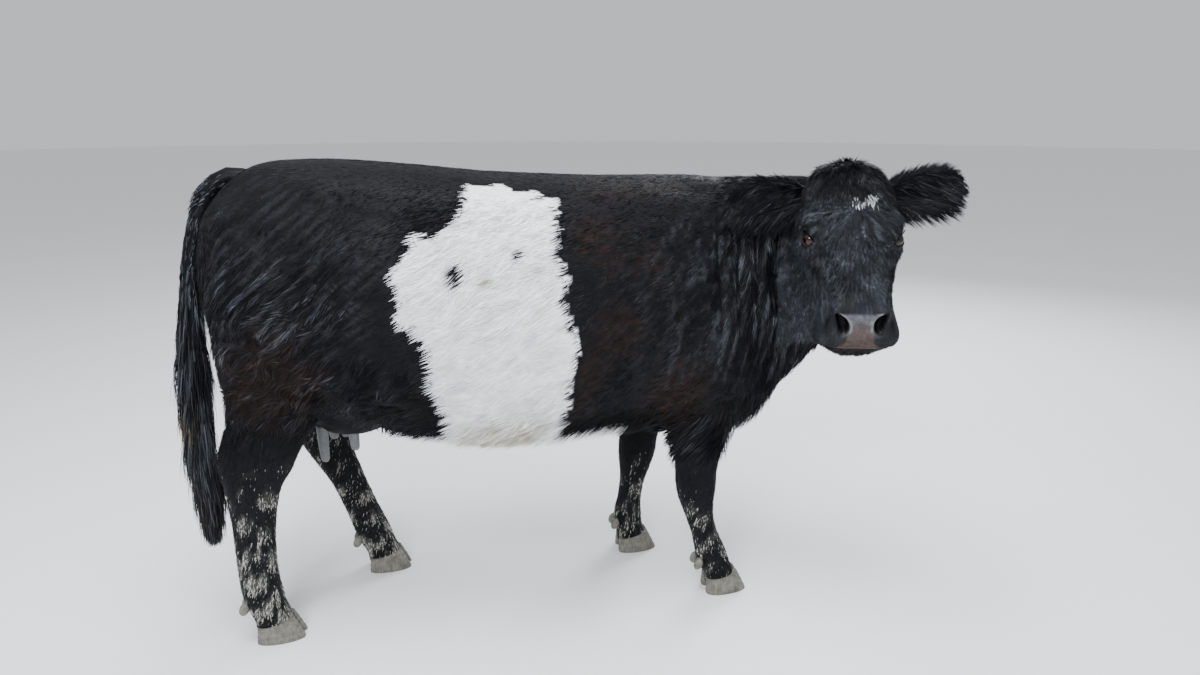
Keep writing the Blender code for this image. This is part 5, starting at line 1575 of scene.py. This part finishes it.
def shaggy_weights(points):
    """Where the hair is longest: the belly, the backs of the thighs, the brisket and the elbows."""
    x, y, z = points.T
    belly = ramp(z, 0.64, 0.53) * ramp(x, -0.30, -0.22) * ramp(x, 0.72, 0.60)
    dewlap = ramp(x, 0.62, 0.74) * ramp(z, 0.86, 0.72) * ramp(z, 0.42, 0.48) * 0.8
    elbow = 0.8 * spot(x, z, (0.43, 0.52), (0.07, 0.10), outer=1.1, inner=0.5)
    mane = between(x, 0.55, 0.65, 0.80, 0.88) * ramp(z, 0.78, 0.90) * ramp(z, 1.20, 1.10) * (y < 0)
    found = np.maximum.reduce([belly, thigh_share(points), dewlap, elbow, mane])
    return found * (1 - udder_share(points)) * (1 - leg_share(points)) * (1 - head_share(points)) * (z > 0.44)


def shaggy_coat(skin, settings):
    """Longer tufts that bend down under their own weight."""
    roots = sampled(skin, shaggy_weights, settings.shaggy_tufts, seed=11)
    rng = np.random.default_rng(12)
    count = len(roots.points)
    near_floor = ramp(roots.points[:, 2], 0.64, 0.54)
    length = (0.034 + 0.022 * near_floor) * settings.length * rng.uniform(0.6, 1.2, count)
    lie = unit(lie_at(roots.points, roots.normals) + np.array((0, 0, -0.25)))
    tips = tips_of(roots, lie, length, rng.uniform(8, 24, count))
    tips, shade = gathered(roots.points, tips, settings.clump * 1.8, every=22, seed=13)
    half = rng.uniform(0.0012, 0.0022, count)
    colours = shaded(coat_colour(roots.points, True), 1.8 * shade)
    return in_pieces("shag", roots, tips, half, -roots.normals * 0.28, 2, colours)


def poll_weights(points):
    """1 on top of the poll, where its long hair grows."""
    along, left, out = in_head(points).T
    weight = between(along, -0.065, -0.035, 0.030, 0.125) * ramp(np.abs(left), 0.110, 0.060)
    return weight * ramp(out, -0.060, -0.035) * (points[:, 2] > 1.10)


def poll_tuft(skin, settings):
    """The long hair of the poll, which parts in the middle and falls over the forehead."""
    roots = sampled(skin, poll_weights, settings.poll_tufts, seed=21)
    rng = np.random.default_rng(22)
    count = len(roots.points)
    along, left, _ = in_head(roots.points).T
    spread = left * 5.0 + 0.25 * waves(roots.points, 0.030, 24) + rng.normal(0, 0.10, count)
    lie = np.stack([np.full(count, 0.90), spread, np.zeros(count)], 1) @ head_turn().T
    lie = unit(along_surface(lie, roots.normals))
    length = rng.uniform(0.026, 0.050, count) * (1 - 0.35 * ramp(along, 0.03, 0.11))
    tips = tips_of(roots, lie, length, rng.uniform(4, 15, count))
    tips, shade = gathered(roots.points, tips, 0.50, every=20, seed=23)
    half = rng.uniform(0.0007, 0.0013, count)
    colours = shaded(coat_colour(roots.points, True), shade)
    return in_pieces("poll_tuft", roots, tips, half, -roots.normals * 0.30, 3, colours)


def ear_hair(ear, side, name, settings):
    """Short hair on the back of an ear, and long hair in its cup and along both of its edges."""
    def weights_at(points):
        return 0.45 + 1.6 * np.abs(ear_places(points, side)[1]) ** 3

    roots = sampled(ear, weights_at, settings.ear_tufts, seed=31 + side)
    rng = np.random.default_rng(32 + side)
    count = len(roots.points)
    share, high = ear_places(roots.points, side)
    tip, faces, across = (np.array(a) for a in ear_axes(side))
    across = across if across[2] > 0 else -across
    edge = np.abs(high) ** 3
    hanging = np.where(high < 0, 1.35, 0.80)
    lie = tip * (0.8 + 0.2 * rng.random((count, 1))) + across * (np.sign(high) * edge * hanging)[:, None]
    lie += faces * (0.18 * rng.normal(0, 1, count) * edge)[:, None]
    # Long locks hang across the cup.
    cup = ramp(roots.normals @ faces, 0.0, 0.4) * (1 - edge)
    lie -= across * (cup * (0.75 + 0.25 * rng.normal(0, 1, count)))[:, None]
    lie = unit(mixed(along_surface(lie, roots.normals), lie, edge))
    length = 0.024 + (np.where(high < 0, 0.060, 0.014) + 0.008 * rng.normal(0, 1, count)) * edge + 0.022 * cup
    length *= 1 - 0.60 * ramp(share, 0.70, 1.0)
    tips = tips_of(roots, lie, length, rng.uniform(8, 22, count) * (1 - 0.7 * edge))
    tips, shade = gathered(roots.points, tips, 0.45, every=14, seed=33 + side)
    half = rng.uniform(0.0008, 0.0015, count)
    bend = np.array((0.0, 0.0, 0.25)) * edge[:, None]
    # Some tufts are lighter: partly lighter hair, partly painted sheen.
    colours = mixed(BLACK, LIGHT_HAIR_AND_PAINTED_SHEEN, 0.45 * ramp(rng.normal(0, 1, count), -0.2, 1.4))
    return in_pieces(name, roots, tips, half, bend, 2, shaded(colours, shade))


def tail_weights(points):
    """How thick the hair stands on the tail: thickest in the switch."""
    return (points[:, 0] < -0.700) * (1.0 + 1.4 * ramp(points[:, 2], 1.00, 0.70))


def on_tail(heights):
    """Where the middle of the tail is at those heights."""
    rows = np.array([(s.z, s.x, s.y) for s in TAIL[:1:-1]])
    return np.stack([np.interp(heights, rows[:, 0], rows[:, k]) for k in (1, 2)] + [heights], 1)


def tail_hair(core, settings):
    """The hair of the tail: short at its root, and long in the switch, down to the tip."""
    roots = sampled(core, tail_weights, settings.tail_tufts, seed=41)
    rng = np.random.default_rng(42)
    count = len(roots.points)
    x, _, z = roots.points.T
    down = unit(on_tail(z - 0.05) - on_tail(z))
    run = np.where((z > 1.16)[:, None], np.array((-0.80, -0.06, -0.60)), down)
    long = ramp(z, 1.00, 0.78)
    lie = unit(run + rng.normal(0, 0.07, (count, 3)))
    length = (0.026 + 0.124 * long) * rng.uniform(0.7, 1.1, count)
    length = np.minimum(length, np.maximum(z - TAIL_END, 0.03))
    rise = 3 + 4 * rng.random(count) * long * ramp(z, 0.34, 0.52)
    tips = tips_of(roots, lie, length, rise)
    tips, shade = gathered(roots.points, tips, 0.50, every=16, seed=43)
    half = (0.0014 + 0.0004 * long) * rng.uniform(0.75, 1.25, count)
    # Lighter streaks run down the tail hair: partly lighter hair, partly painted sheen.
    streaks = strands_along(roots.points, (0.04, 0.0, 1.0), size=0.007, seed=44)
    mud = spot(z, x, (0.660, -0.850), (0.045, 0.03))
    colours = layered(
        BLACK,
        (LIGHT_HAIR_AND_PAINTED_SHEEN, 0.95 * ramp(streaks, -0.7, 1.3)),
        (BROWN, 0.6 * ramp(z, 0.60, 0.40) * rng.random(count)),
        (SOILED * 0.6, 0.6 * mud * (rng.random(count) > 0.5)),
    )
    return in_pieces("tail_hair", roots, tips, half, roots.normals * -0.30, 3, shaded(colours, shade))


def lashes(settings):
    """The lashes of both upper lids, thick and curved, out over the eye."""
    turn = head_frame()
    points, tips, normals, spots = [], [], [], []
    rng = np.random.default_rng(51)
    for side in (-1, 1):
        gaze, long, across = eye_axes(side)
        for k in range(settings.lashes):
            bow = math.radians(-62 + 124 * (k + rng.random()) / settings.lashes)
            lift = math.radians(LID_LIFT[1] + 5) * math.cos(bow) ** 0.8
            spoke = gaze * math.cos(bow) * math.cos(lift) + long * math.sin(bow) + across * math.sin(lift)
            spoke.normalize()
            root = eye_centre(side) + spoke * (EYE_RADIUS + LID_THICK * 0.5)
            way = spoke * 0.75 + across * 0.35 + long * math.sin(bow) * 0.5 + Vector((0.35, 0, 0))
            points.append(turn @ root)
            tips.append(turn @ (root + way.normalized() * rng.uniform(0.011, 0.017)))
            normals.append(turn.to_3x3() @ across)
            spots.append((0.1 + 0.35 * (side > 0) + 0.3 * k / settings.lashes, 0.5))
    roots = Roots(*(np.array(field) for field in (points, normals, spots)))
    half, colours = np.full(len(points), 0.00045), np.tile(BLACK * 0.8, (len(points), 1))
    return in_pieces("lashes", roots, np.array(tips), half, -roots.normals * 0.35, 3, colours)


def feed(tree, socket, value):
    """Links the socket where value is another node's socket, and sets it where it is not."""
    if isinstance(value, bpy.types.NodeSocket):
        tree.links.new(value, socket)
    else:
        socket.default_value = value


def node_in(tree, kind, **values):
    """A new shader node of that kind, with its settings and what its sockets hold or are fed by."""
    node = tree.nodes.new(kind)
    for name, value in values.items():
        if hasattr(node, name):
            setattr(node, name, value)
        else:
            feed(tree, node.inputs[name.replace("_", " ")], value)
    return node


def worked_out(tree, operation, *values):
    """What a Math node makes of the values."""
    node = node_in(tree, "ShaderNodeMath", operation=operation)
    for socket, value in zip(node.inputs, values):
        feed(tree, socket, value)
    return node.outputs[0]


def times(tree, vector, scale):
    """A colour or place times a value."""
    node = node_in(tree, "ShaderNodeVectorMath", operation="SCALE", Vector=vector, Scale=scale)
    return node.outputs["Vector"]


def stretched(tree, value, low, high, start=0.0, end=1.0):
    """The value, with the span from start to end stretched to the one from low to high."""
    node = node_in(
        tree, "ShaderNodeMapRange", Value=value, From_Min=start, From_Max=end, To_Min=low, To_Max=high
    )
    return node.outputs["Result"]


def mixed_in(tree, kind, share, first, second):
    """Two numbers or two colours, mixed by the share; a Mix node has its sockets for each kind in a row."""
    node = node_in(tree, "ShaderNodeMix", data_type=kind, Factor=share)
    start, found = {"FLOAT": (2, 0), "RGBA": (6, 2)}[kind]
    feed(tree, node.inputs[start], first)
    feed(tree, node.inputs[start + 1], second)
    return node.outputs[found]


def toned(tree, value, *stops):
    """The colour for a value, by stops of place and colour, from the lowest up."""
    node = node_in(tree, "ShaderNodeValToRGB", Fac=value)
    elements = node.color_ramp.elements
    for k, (place, colour) in enumerate(stops):
        stop = elements[k] if k < 2 else elements.new(place)
        stop.position = place
        stop.color = (*colour, 1)
    return node.outputs["Color"]


def texture_in(tree, kind, stretch=None, **values):
    """The outputs of a texture in the piece's own coordinates, stretched where asked."""
    place = node_in(tree, "ShaderNodeTexCoord").outputs["Object"]
    if stretch:
        place = node_in(tree, "ShaderNodeMapping", Vector=place, Scale=stretch).outputs["Vector"]
    return node_in(tree, kind, Vector=place, **values).outputs


def layer_in(tree, name):
    """The outputs that read what the mesh holds under that name."""
    return node_in(tree, "ShaderNodeAttribute", attribute_name=name).outputs


def strand_group():
    """A node group that varies a hair colour in strands, and gives their height and roughness."""
    group = bpy.data.node_groups.new("strands", "ShaderNodeTree")
    for name, kind, value in (
        ("Colour", "NodeSocketColor", (0.5, 0.5, 0.5, 1)), ("Spread", "NodeSocketFloat", 0.3),
        ("Fineness", "NodeSocketFloat", 1.0), ("Smoothest", "NodeSocketFloat", 0.35),
        ("Roughest", "NodeSocketFloat", 0.6),
    ):
        group.interface.new_socket(name=name, in_out="INPUT", socket_type=kind).default_value = value
    for name, kind in (
        ("Colour", "NodeSocketColor"), ("Height", "NodeSocketFloat"), ("Roughness", "NodeSocketFloat"),
    ):
        group.interface.new_socket(name=name, in_out="OUTPUT", socket_type=kind)
    given, end = group.nodes.new("NodeGroupInput").outputs, group.nodes.new("NodeGroupOutput").inputs
    place = node_in(group, "ShaderNodeTexCoord").outputs["Object"]
    combed = node_in(
        group, "ShaderNodeMapping", Vector=place, Rotation=(0, STRAND_TURN, 0), Scale=STRAND_STRETCH
    ).outputs["Vector"]
    fine = times(group, combed, given["Fineness"])
    strands = node_in(group, "ShaderNodeTexNoise", Scale=1.0, Detail=3.0, Vector=fine).outputs["Fac"]
    patches = texture_in(group, "ShaderNodeTexNoise", Scale=22.0, Detail=2.0)["Fac"]
    # The two together lie round 0.67, which is taken off, so that the colour keeps its level.
    both = worked_out(group, "MULTIPLY_ADD", patches, 0.35, strands)
    centred = worked_out(group, "SUBTRACT", both, 0.67)
    level = worked_out(group, "MULTIPLY_ADD", centred, given["Spread"], 1.0)
    feed(group, end["Colour"], times(group, given["Colour"], level))
    feed(group, end["Height"], strands)
    feed(group, end["Roughness"], stretched(group, strands, given["Smoothest"], given["Roughest"], 0.3, 0.7))
    return group


def material_with(name):
    """A new material and its node tree."""
    material = bpy.data.materials.new(name)
    material.use_nodes = True
    return material, material.node_tree


def surfaced(material, **values):
    """The material, with these sockets of its shader set or fed."""
    tree = material.node_tree
    for name, value in values.items():
        feed(tree, tree.nodes["Principled BSDF"].inputs[name.replace("_", " ")], value)
    return material


def strands_in(tree, colour, spread, fineness, smoothest, roughest):
    """The outputs of the strand group in a material, with its own values, fed by the colour."""
    return node_in(
        tree, "ShaderNodeGroup", node_tree=bpy.data.node_groups.get("strands") or strand_group(),
        Colour=colour, Spread=spread, Fineness=fineness, Smoothest=smoothest, Roughest=roughest,
    ).outputs


def bumped(tree, height, strength, distance):
    """The normal of a bump of that height."""
    return node_in(
        tree, "ShaderNodeBump", Strength=strength, Distance=distance, Height=height
    ).outputs["Normal"]


def coat_finish():
    """Hair of the coat's own colour, with the soft shine of a groomed coat."""
    found = bpy.data.materials.get("coat")
    if found:
        return found
    material, tree = material_with("coat")
    colour = layer_in(tree, "coat")["Color"]
    hair = strands_in(tree, colour, spread=0.7, fineness=1.0, smoothest=0.36, roughest=0.54)
    return surfaced(
        material, Base_Color=hair["Colour"], Roughness=hair["Roughness"], Specular_IOR_Level=COAT_SHINE
    )


def skin_finish():
    """The skin under the coat, and the wet pebbled pad of the nose."""
    material, tree = material_with("hide")
    colour, bare = layer_in(tree, "coat")["Color"], layer_in(tree, "bare")["Fac"]
    hair = strands_in(tree, colour, spread=0.8, fineness=1.3, smoothest=0.42, roughest=0.70)
    pebbles = texture_in(tree, "ShaderNodeTexVoronoi", Scale=330.0)["Distance"]
    mottle = texture_in(tree, "ShaderNodeTexNoise", Scale=90.0, Detail=4.0)["Fac"]
    pad = times(tree, colour, stretched(tree, mottle, low=0.5, high=1.4, start=0.3, end=0.7))
    damp = stretched(tree, mottle, low=0.34, high=0.55)
    height = mixed_in(tree, "FLOAT", bare, hair["Height"], pebbles)
    return surfaced(
        material,
        Base_Color=mixed_in(tree, "RGBA", bare, hair["Colour"], pad),
        Roughness=mixed_in(tree, "FLOAT", bare, hair["Roughness"], damp),
        Normal=bumped(tree, height, strength=0.8, distance=0.0014),
        Coat_Weight=layer_in(tree, "wet")["Fac"],
        Coat_Roughness=0.18,
        Specular_IOR_Level=COAT_SHINE,
    )


def lid_finish():
    """The dark moist rim of the lids."""
    material, tree = material_with("lid_rim")
    creases = texture_in(tree, "ShaderNodeTexNoise", Scale=260.0, Detail=4.0)["Fac"]
    return surfaced(
        material,
        Base_Color=toned(tree, creases, (0, LID_SKIN * 0.7), (1, LID_SKIN * 2.2)),
        Roughness=0.50,
        Normal=bumped(tree, creases, strength=0.6, distance=0.0008),
        Specular_IOR_Level=COAT_SHINE,
    )


def eye_finish():
    """The wet ball of the eye."""
    material, tree = material_with("eye")
    veins = texture_in(tree, "ShaderNodeTexNoise", Scale=420.0, Detail=5.0)["Fac"]
    colour = times(tree, layer_in(tree, "tint")["Color"], stretched(tree, veins, low=0.7, high=1.3))
    return surfaced(material, Base_Color=colour, Roughness=0.04, Specular_IOR_Level=0.42)


def ear_finish():
    """The skin of the ears, darker and finer haired outside than in."""
    material, tree = material_with("ear_skin")
    colour = layer_in(tree, "coat")["Color"]
    hair = strands_in(tree, colour, spread=0.8, fineness=1.6, smoothest=0.45, roughest=0.70)
    return surfaced(
        material,
        Base_Color=hair["Colour"],
        Roughness=hair["Roughness"],
        Normal=bumped(tree, hair["Height"], strength=0.5, distance=0.0010),
        Specular_IOR_Level=COAT_SHINE,
    )


def horn_finish():
    """Pale worn horn: rings of growth, fine upright streaks and pale patches like dry mud."""
    material, tree = material_with("horn")
    fibres = texture_in(tree, "ShaderNodeTexNoise", (260, 260, 22), Scale=1.0, Detail=3.0)["Fac"]
    patches = texture_in(tree, "ShaderNodeTexNoise", Scale=45.0, Detail=5.0, Roughness=0.65)["Fac"]
    rings = texture_in(
        tree, "ShaderNodeTexWave", wave_type="BANDS", bands_direction="Z", Scale=55.0, Distortion=2.5
    )["Fac"]
    height = worked_out(tree, "MULTIPLY_ADD", rings, 0.5, fibres)
    return surfaced(
        material,
        Base_Color=toned(tree, mixed_in(tree, "FLOAT", 0.4, patches, fibres), *HORN_TONES),
        Roughness=stretched(tree, patches, low=0.45, high=0.75),
        Normal=bumped(tree, height, strength=0.55, distance=0.0012),
    )


def teat_finish():
    """Grey wrinkled skin of the teats, with a dusty bloom."""
    material, tree = material_with("teat_skin")
    wrinkles = texture_in(tree, "ShaderNodeTexNoise", (120, 120, 420), Scale=1.0, Detail=4.0)["Fac"]
    return surfaced(
        material,
        Base_Color=toned(tree, wrinkles, (0, TEAT_DARK), (1, TEAT_PALE)),
        Roughness=0.52,
        Normal=bumped(tree, wrinkles, strength=0.8, distance=0.0015),
    )


def floor_finish():
    material, _ = material_with("pale_floor")
    return surfaced(material, Base_Color=(0.88, 0.88, 0.87, 1), Roughness=0.75)


def finished(obj, material, *nodes, slot=None):
    """Gives the piece its material, hangs it on the body and hides the nodes that it stands for."""
    obj.data.materials.clear()
    obj.data.materials.append(material)
    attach(obj, "root")
    if nodes:
        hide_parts(*nodes)
    return obj


class CowCoatSettings(bpy.types.PropertyGroup):
    length: bpy.props.FloatProperty(
        name="Hair length", description="Length of the hair, as a share of its usual length",
        default=1.0, min=0.3, max=2.0,
    )
    clump: bpy.props.FloatProperty(
        name="Gathering", description="How far the hair gathers in locks",
        default=0.30, min=0, max=1, subtype="FACTOR",
    )
    tufts: bpy.props.IntProperty(
        name="Tufts", description="Straight tufts over the whole cow", default=250000, min=1000
    )
    shaggy_tufts: bpy.props.IntProperty(
        name="Long tufts", description="Bent tufts of the belly, thighs and brisket", default=16000, min=100
    )
    poll_tufts: bpy.props.IntProperty(
        name="Poll tufts", description="Tufts on the poll", default=5000, min=100
    )
    ear_tufts: bpy.props.IntProperty(
        name="Ear tufts", description="Tufts on each ear", default=4500, min=100
    )
    tail_tufts: bpy.props.IntProperty(
        name="Tail tufts", description="Tufts on the tail", default=7500, min=100
    )
    lashes: bpy.props.IntProperty(
        name="Lashes", description="Lashes of each upper lid", default=70, min=5
    )


class CowStageSettings(bpy.types.PropertyGroup):
    floor_radius: bpy.props.FloatProperty(
        name="Floor radius", description="Radius of the floor", default=30.0, unit="LENGTH"
    )
    key_power: bpy.props.FloatProperty(
        name="Key light", description="Power of the large light in front of the cow",
        default=230.0, unit="POWER",
    )
    top_power: bpy.props.FloatProperty(
        name="Top light", description="Power of the light above the cow", default=240.0, unit="POWER"
    )
    rim_power: bpy.props.FloatProperty(
        name="Back light", description="Power of the light behind the cow", default=160.0, unit="POWER"
    )
    surround: bpy.props.FloatProperty(
        name="Surround", description="Brightness of the pale surround", default=0.72
    )
    camera_place: bpy.props.FloatVectorProperty(
        name="Camera place", description="Where the camera stands, by the cow's own origin",
        default=CAMERA_PLACE, unit="LENGTH", subtype="TRANSLATION",
    )
    lens: bpy.props.FloatProperty(
        name="Lens", description="Focal length of the camera", default=CAMERA_LENS, unit="CAMERA"
    )


class COW_OT_skin(bpy.types.Operator):
    """Makes the skin of the body, head and legs"""

    bl_idname = "cow.skin"
    bl_label = "Skin"

    def execute(self, context):
        skin = put_in_row(made_skin())
        flesh_nodes = [n for n in frame["nodes"] if n.endswith(("_thigh", "_shank"))]
        finished(skin, skin_finish(), "head", "neck", "chest", "belt", "rump", "udder", *flesh_nodes)
        return {"FINISHED"}


class COW_OT_eyes(bpy.types.Operator):
    """Makes both eyes, their lids and their lashes"""

    bl_idname = "cow.eyes"
    bl_label = "Eyes"

    def execute(self, context):
        balls = []
        for side in (-1, 1):
            gaze, long, across = (head_frame().to_3x3() @ a for a in eye_axes(side))
            balls.append(turned_ball(eye_place(side), (long, across, gaze), [EYE_RADIUS] * 3, 72, 48))
        eyes = joined(balls, "eyes")
        eye_colours(eyes)
        eyes.data.shade_smooth()
        finished(put_in_row(eyes), eye_finish(), "eye_left", "eye_right", slot="eye")
        lids = joined([lid_roll(side, up) for side in (-1, 1) for up in (-1, 1)], "lids")
        lids.data.shade_smooth()
        finished(put_in_row(lids), lid_finish())
        for piece in lashes(context.scene.cow_coat):
            finished(piece, coat_finish())
        return {"FINISHED"}


class COW_OT_ears(bpy.types.Operator):
    """Makes both ears and their hair"""

    bl_idname = "cow.ears"
    bl_label = "Ears"

    def execute(self, context):
        finish = ear_finish()
        for side, label in ((-1, "right"), (1, "left")):
            ear = object_of(ear_leaf(side), "ear_leaf_" + label)
            within = ramp(normals_of(ear.data) @ np.array(ear_axes(side)[1]), 0.0, 0.5)
            colour_layer(ear.data, "coat", mixed(BLACK, BROWN, within * 0.10))
            ear.data.shade_smooth()
            smart_unwrap(ear, "unwrap")
            finished(put_in_row(ear), finish, "ear_" + label, slot="black_coat")
            for piece in ear_hair(ear, side, "ear_hair_" + label, context.scene.cow_coat):
                finished(piece, coat_finish())
        return {"FINISHED"}


class COW_OT_tail(bpy.types.Operator):
    """Makes the tail and its switch"""

    bl_idname = "cow.tail"
    bl_label = "Tail"

    def execute(self, context):
        core = object_of(tail_core(), "tail_core")
        colour_layer(core.data, "coat", np.tile(BLACK, (len(core.data.vertices), 1)))
        core.data.shade_smooth()
        smart_unwrap(core, "unwrap")
        finished(put_in_row(core), coat_finish(), "tail", "tail_switch")
        for piece in tail_hair(core, context.scene.cow_coat):
            finished(piece, coat_finish())
        return {"FINISHED"}


class COW_OT_hooves(bpy.types.Operator):
    """Makes the hooves and the dewclaws"""

    bl_idname = "cow.hooves"
    bl_label = "Hooves"

    def execute(self, context):
        finish = horn_finish()
        for maker, label in ((claw, "claw"), (dewclaw, "dewclaw")):
            piece = joined([maker(name, side) for name in LEGS for side in (-1, 1)], label + "s")
            piece.data.shade_smooth()
            piece.data.set_sharp_from_angle(angle=math.radians(50))
            nodes = [n for n in frame["nodes"] if f"_{label}_" in n]
            finished(put_in_row(piece), finish, *nodes, slot="hoof" if label == "claw" else "dewclaw")
        return {"FINISHED"}


class COW_OT_teats(bpy.types.Operator):
    """Makes the teats"""

    bl_idname = "cow.teats"
    bl_label = "Teats"

    def execute(self, context):
        teats = joined([teat(*row) for row in TEATS], "teats")
        teats.data.shade_smooth()
        nodes = [n for n in frame["nodes"] if n.startswith("teat_")]
        finished(put_in_row(teats), teat_finish(), *nodes, slot="teat")
        return {"FINISHED"}


class COW_OT_coat(bpy.types.Operator):
    """Grows the coat over the skin"""

    bl_idname = "cow.coat"
    bl_label = "Coat"

    def execute(self, context):
        skin = bpy.data.objects["skin"]
        settings = context.scene.cow_coat
        finish = coat_finish()
        for piece in short_coat(skin, settings) + shaggy_coat(skin, settings) + poll_tuft(skin, settings):
            finished(piece, finish)
        return {"FINISHED"}


class COW_OT_stage(bpy.types.Operator):
    """Makes the floor, the surround, the lights and the camera"""

    bl_idname = "cow.stage"
    bl_label = "Stage"

    def execute(self, context):
        settings = context.scene.cow_stage
        bm = bmesh.new()
        bmesh.ops.create_circle(bm, cap_ends=True, segments=96, radius=settings.floor_radius)
        floor = object_of(bm, "floor")
        floor.data.materials.append(floor_finish())
        world = bpy.data.worlds.new("surround")
        world.use_nodes = True
        shade = world.node_tree.nodes["Background"].inputs
        shade["Color"].default_value = (0.93, 0.95, 1.0, 1)
        shade["Strength"].default_value = settings.surround
        context.scene.world = world
        for name, place, size, setting in LIGHTS:
            light = bpy.data.lights.new(name, "AREA")
            light.size = size
            light.energy = getattr(settings, setting)
            light.color = COOL_LIGHT
            lamp = bpy.data.objects.new(name, light)
            context.scene.collection.objects.link(lamp)
            lamp.location = place
            lamp.rotation_euler = (LIT_PLACE - Vector(place)).to_track_quat("-Z", "Y").to_euler()
        camera = bpy.data.cameras.new("camera")
        camera.sensor_width = SENSOR_WIDTH
        camera.lens = settings.lens
        holder = bpy.data.objects.new("camera", camera)
        context.scene.collection.objects.link(holder)
        holder.location = Vector(settings.camera_place) + row_shift()
        holder.rotation_euler = (math.pi / 2 - CAMERA_TILT, 0, -CAMERA_TURN)
        context.scene.camera = holder
        return {"FINISHED"}


OPERATORS = (
    COW_OT_skin, COW_OT_eyes, COW_OT_ears, COW_OT_tail,
    COW_OT_hooves, COW_OT_teats, COW_OT_coat, COW_OT_stage,
)


class COW_PT_sidebar(bpy.types.Panel):
    """Settings and steps of the cow"""

    bl_idname = "COW_PT_sidebar"
    bl_label = "Belted Cow"
    bl_space_type = "VIEW_3D"
    bl_region_type = "UI"
    bl_category = "Cow"

    def draw(self, context):
        for settings in (context.scene.cow_coat, context.scene.cow_stage):
            box = self.layout.box()
            for name in settings.__annotations__:
                box.prop(settings, name)
        for operator in OPERATORS:
            self.layout.operator(operator.bl_idname)


CLASSES = (CowCoatSettings, CowStageSettings, *OPERATORS, COW_PT_sidebar)


def register():
    for one in CLASSES:
        bpy.utils.register_class(one)
    bpy.types.Scene.cow_coat = bpy.props.PointerProperty(type=CowCoatSettings)
    bpy.types.Scene.cow_stage = bpy.props.PointerProperty(type=CowStageSettings)


def unregister():
    del bpy.types.Scene.cow_stage
    del bpy.types.Scene.cow_coat
    for one in reversed(CLASSES):
        bpy.utils.unregister_class(one)


def main():
    register()
    bpy.ops.cow.skin()
    bpy.ops.cow.eyes()
    bpy.ops.cow.ears()
    bpy.ops.cow.tail()
    bpy.ops.cow.hooves()
    bpy.ops.cow.teats()
    bpy.ops.cow.coat()
    bpy.ops.cow.stage()


if __name__ == "__main__":
    main()
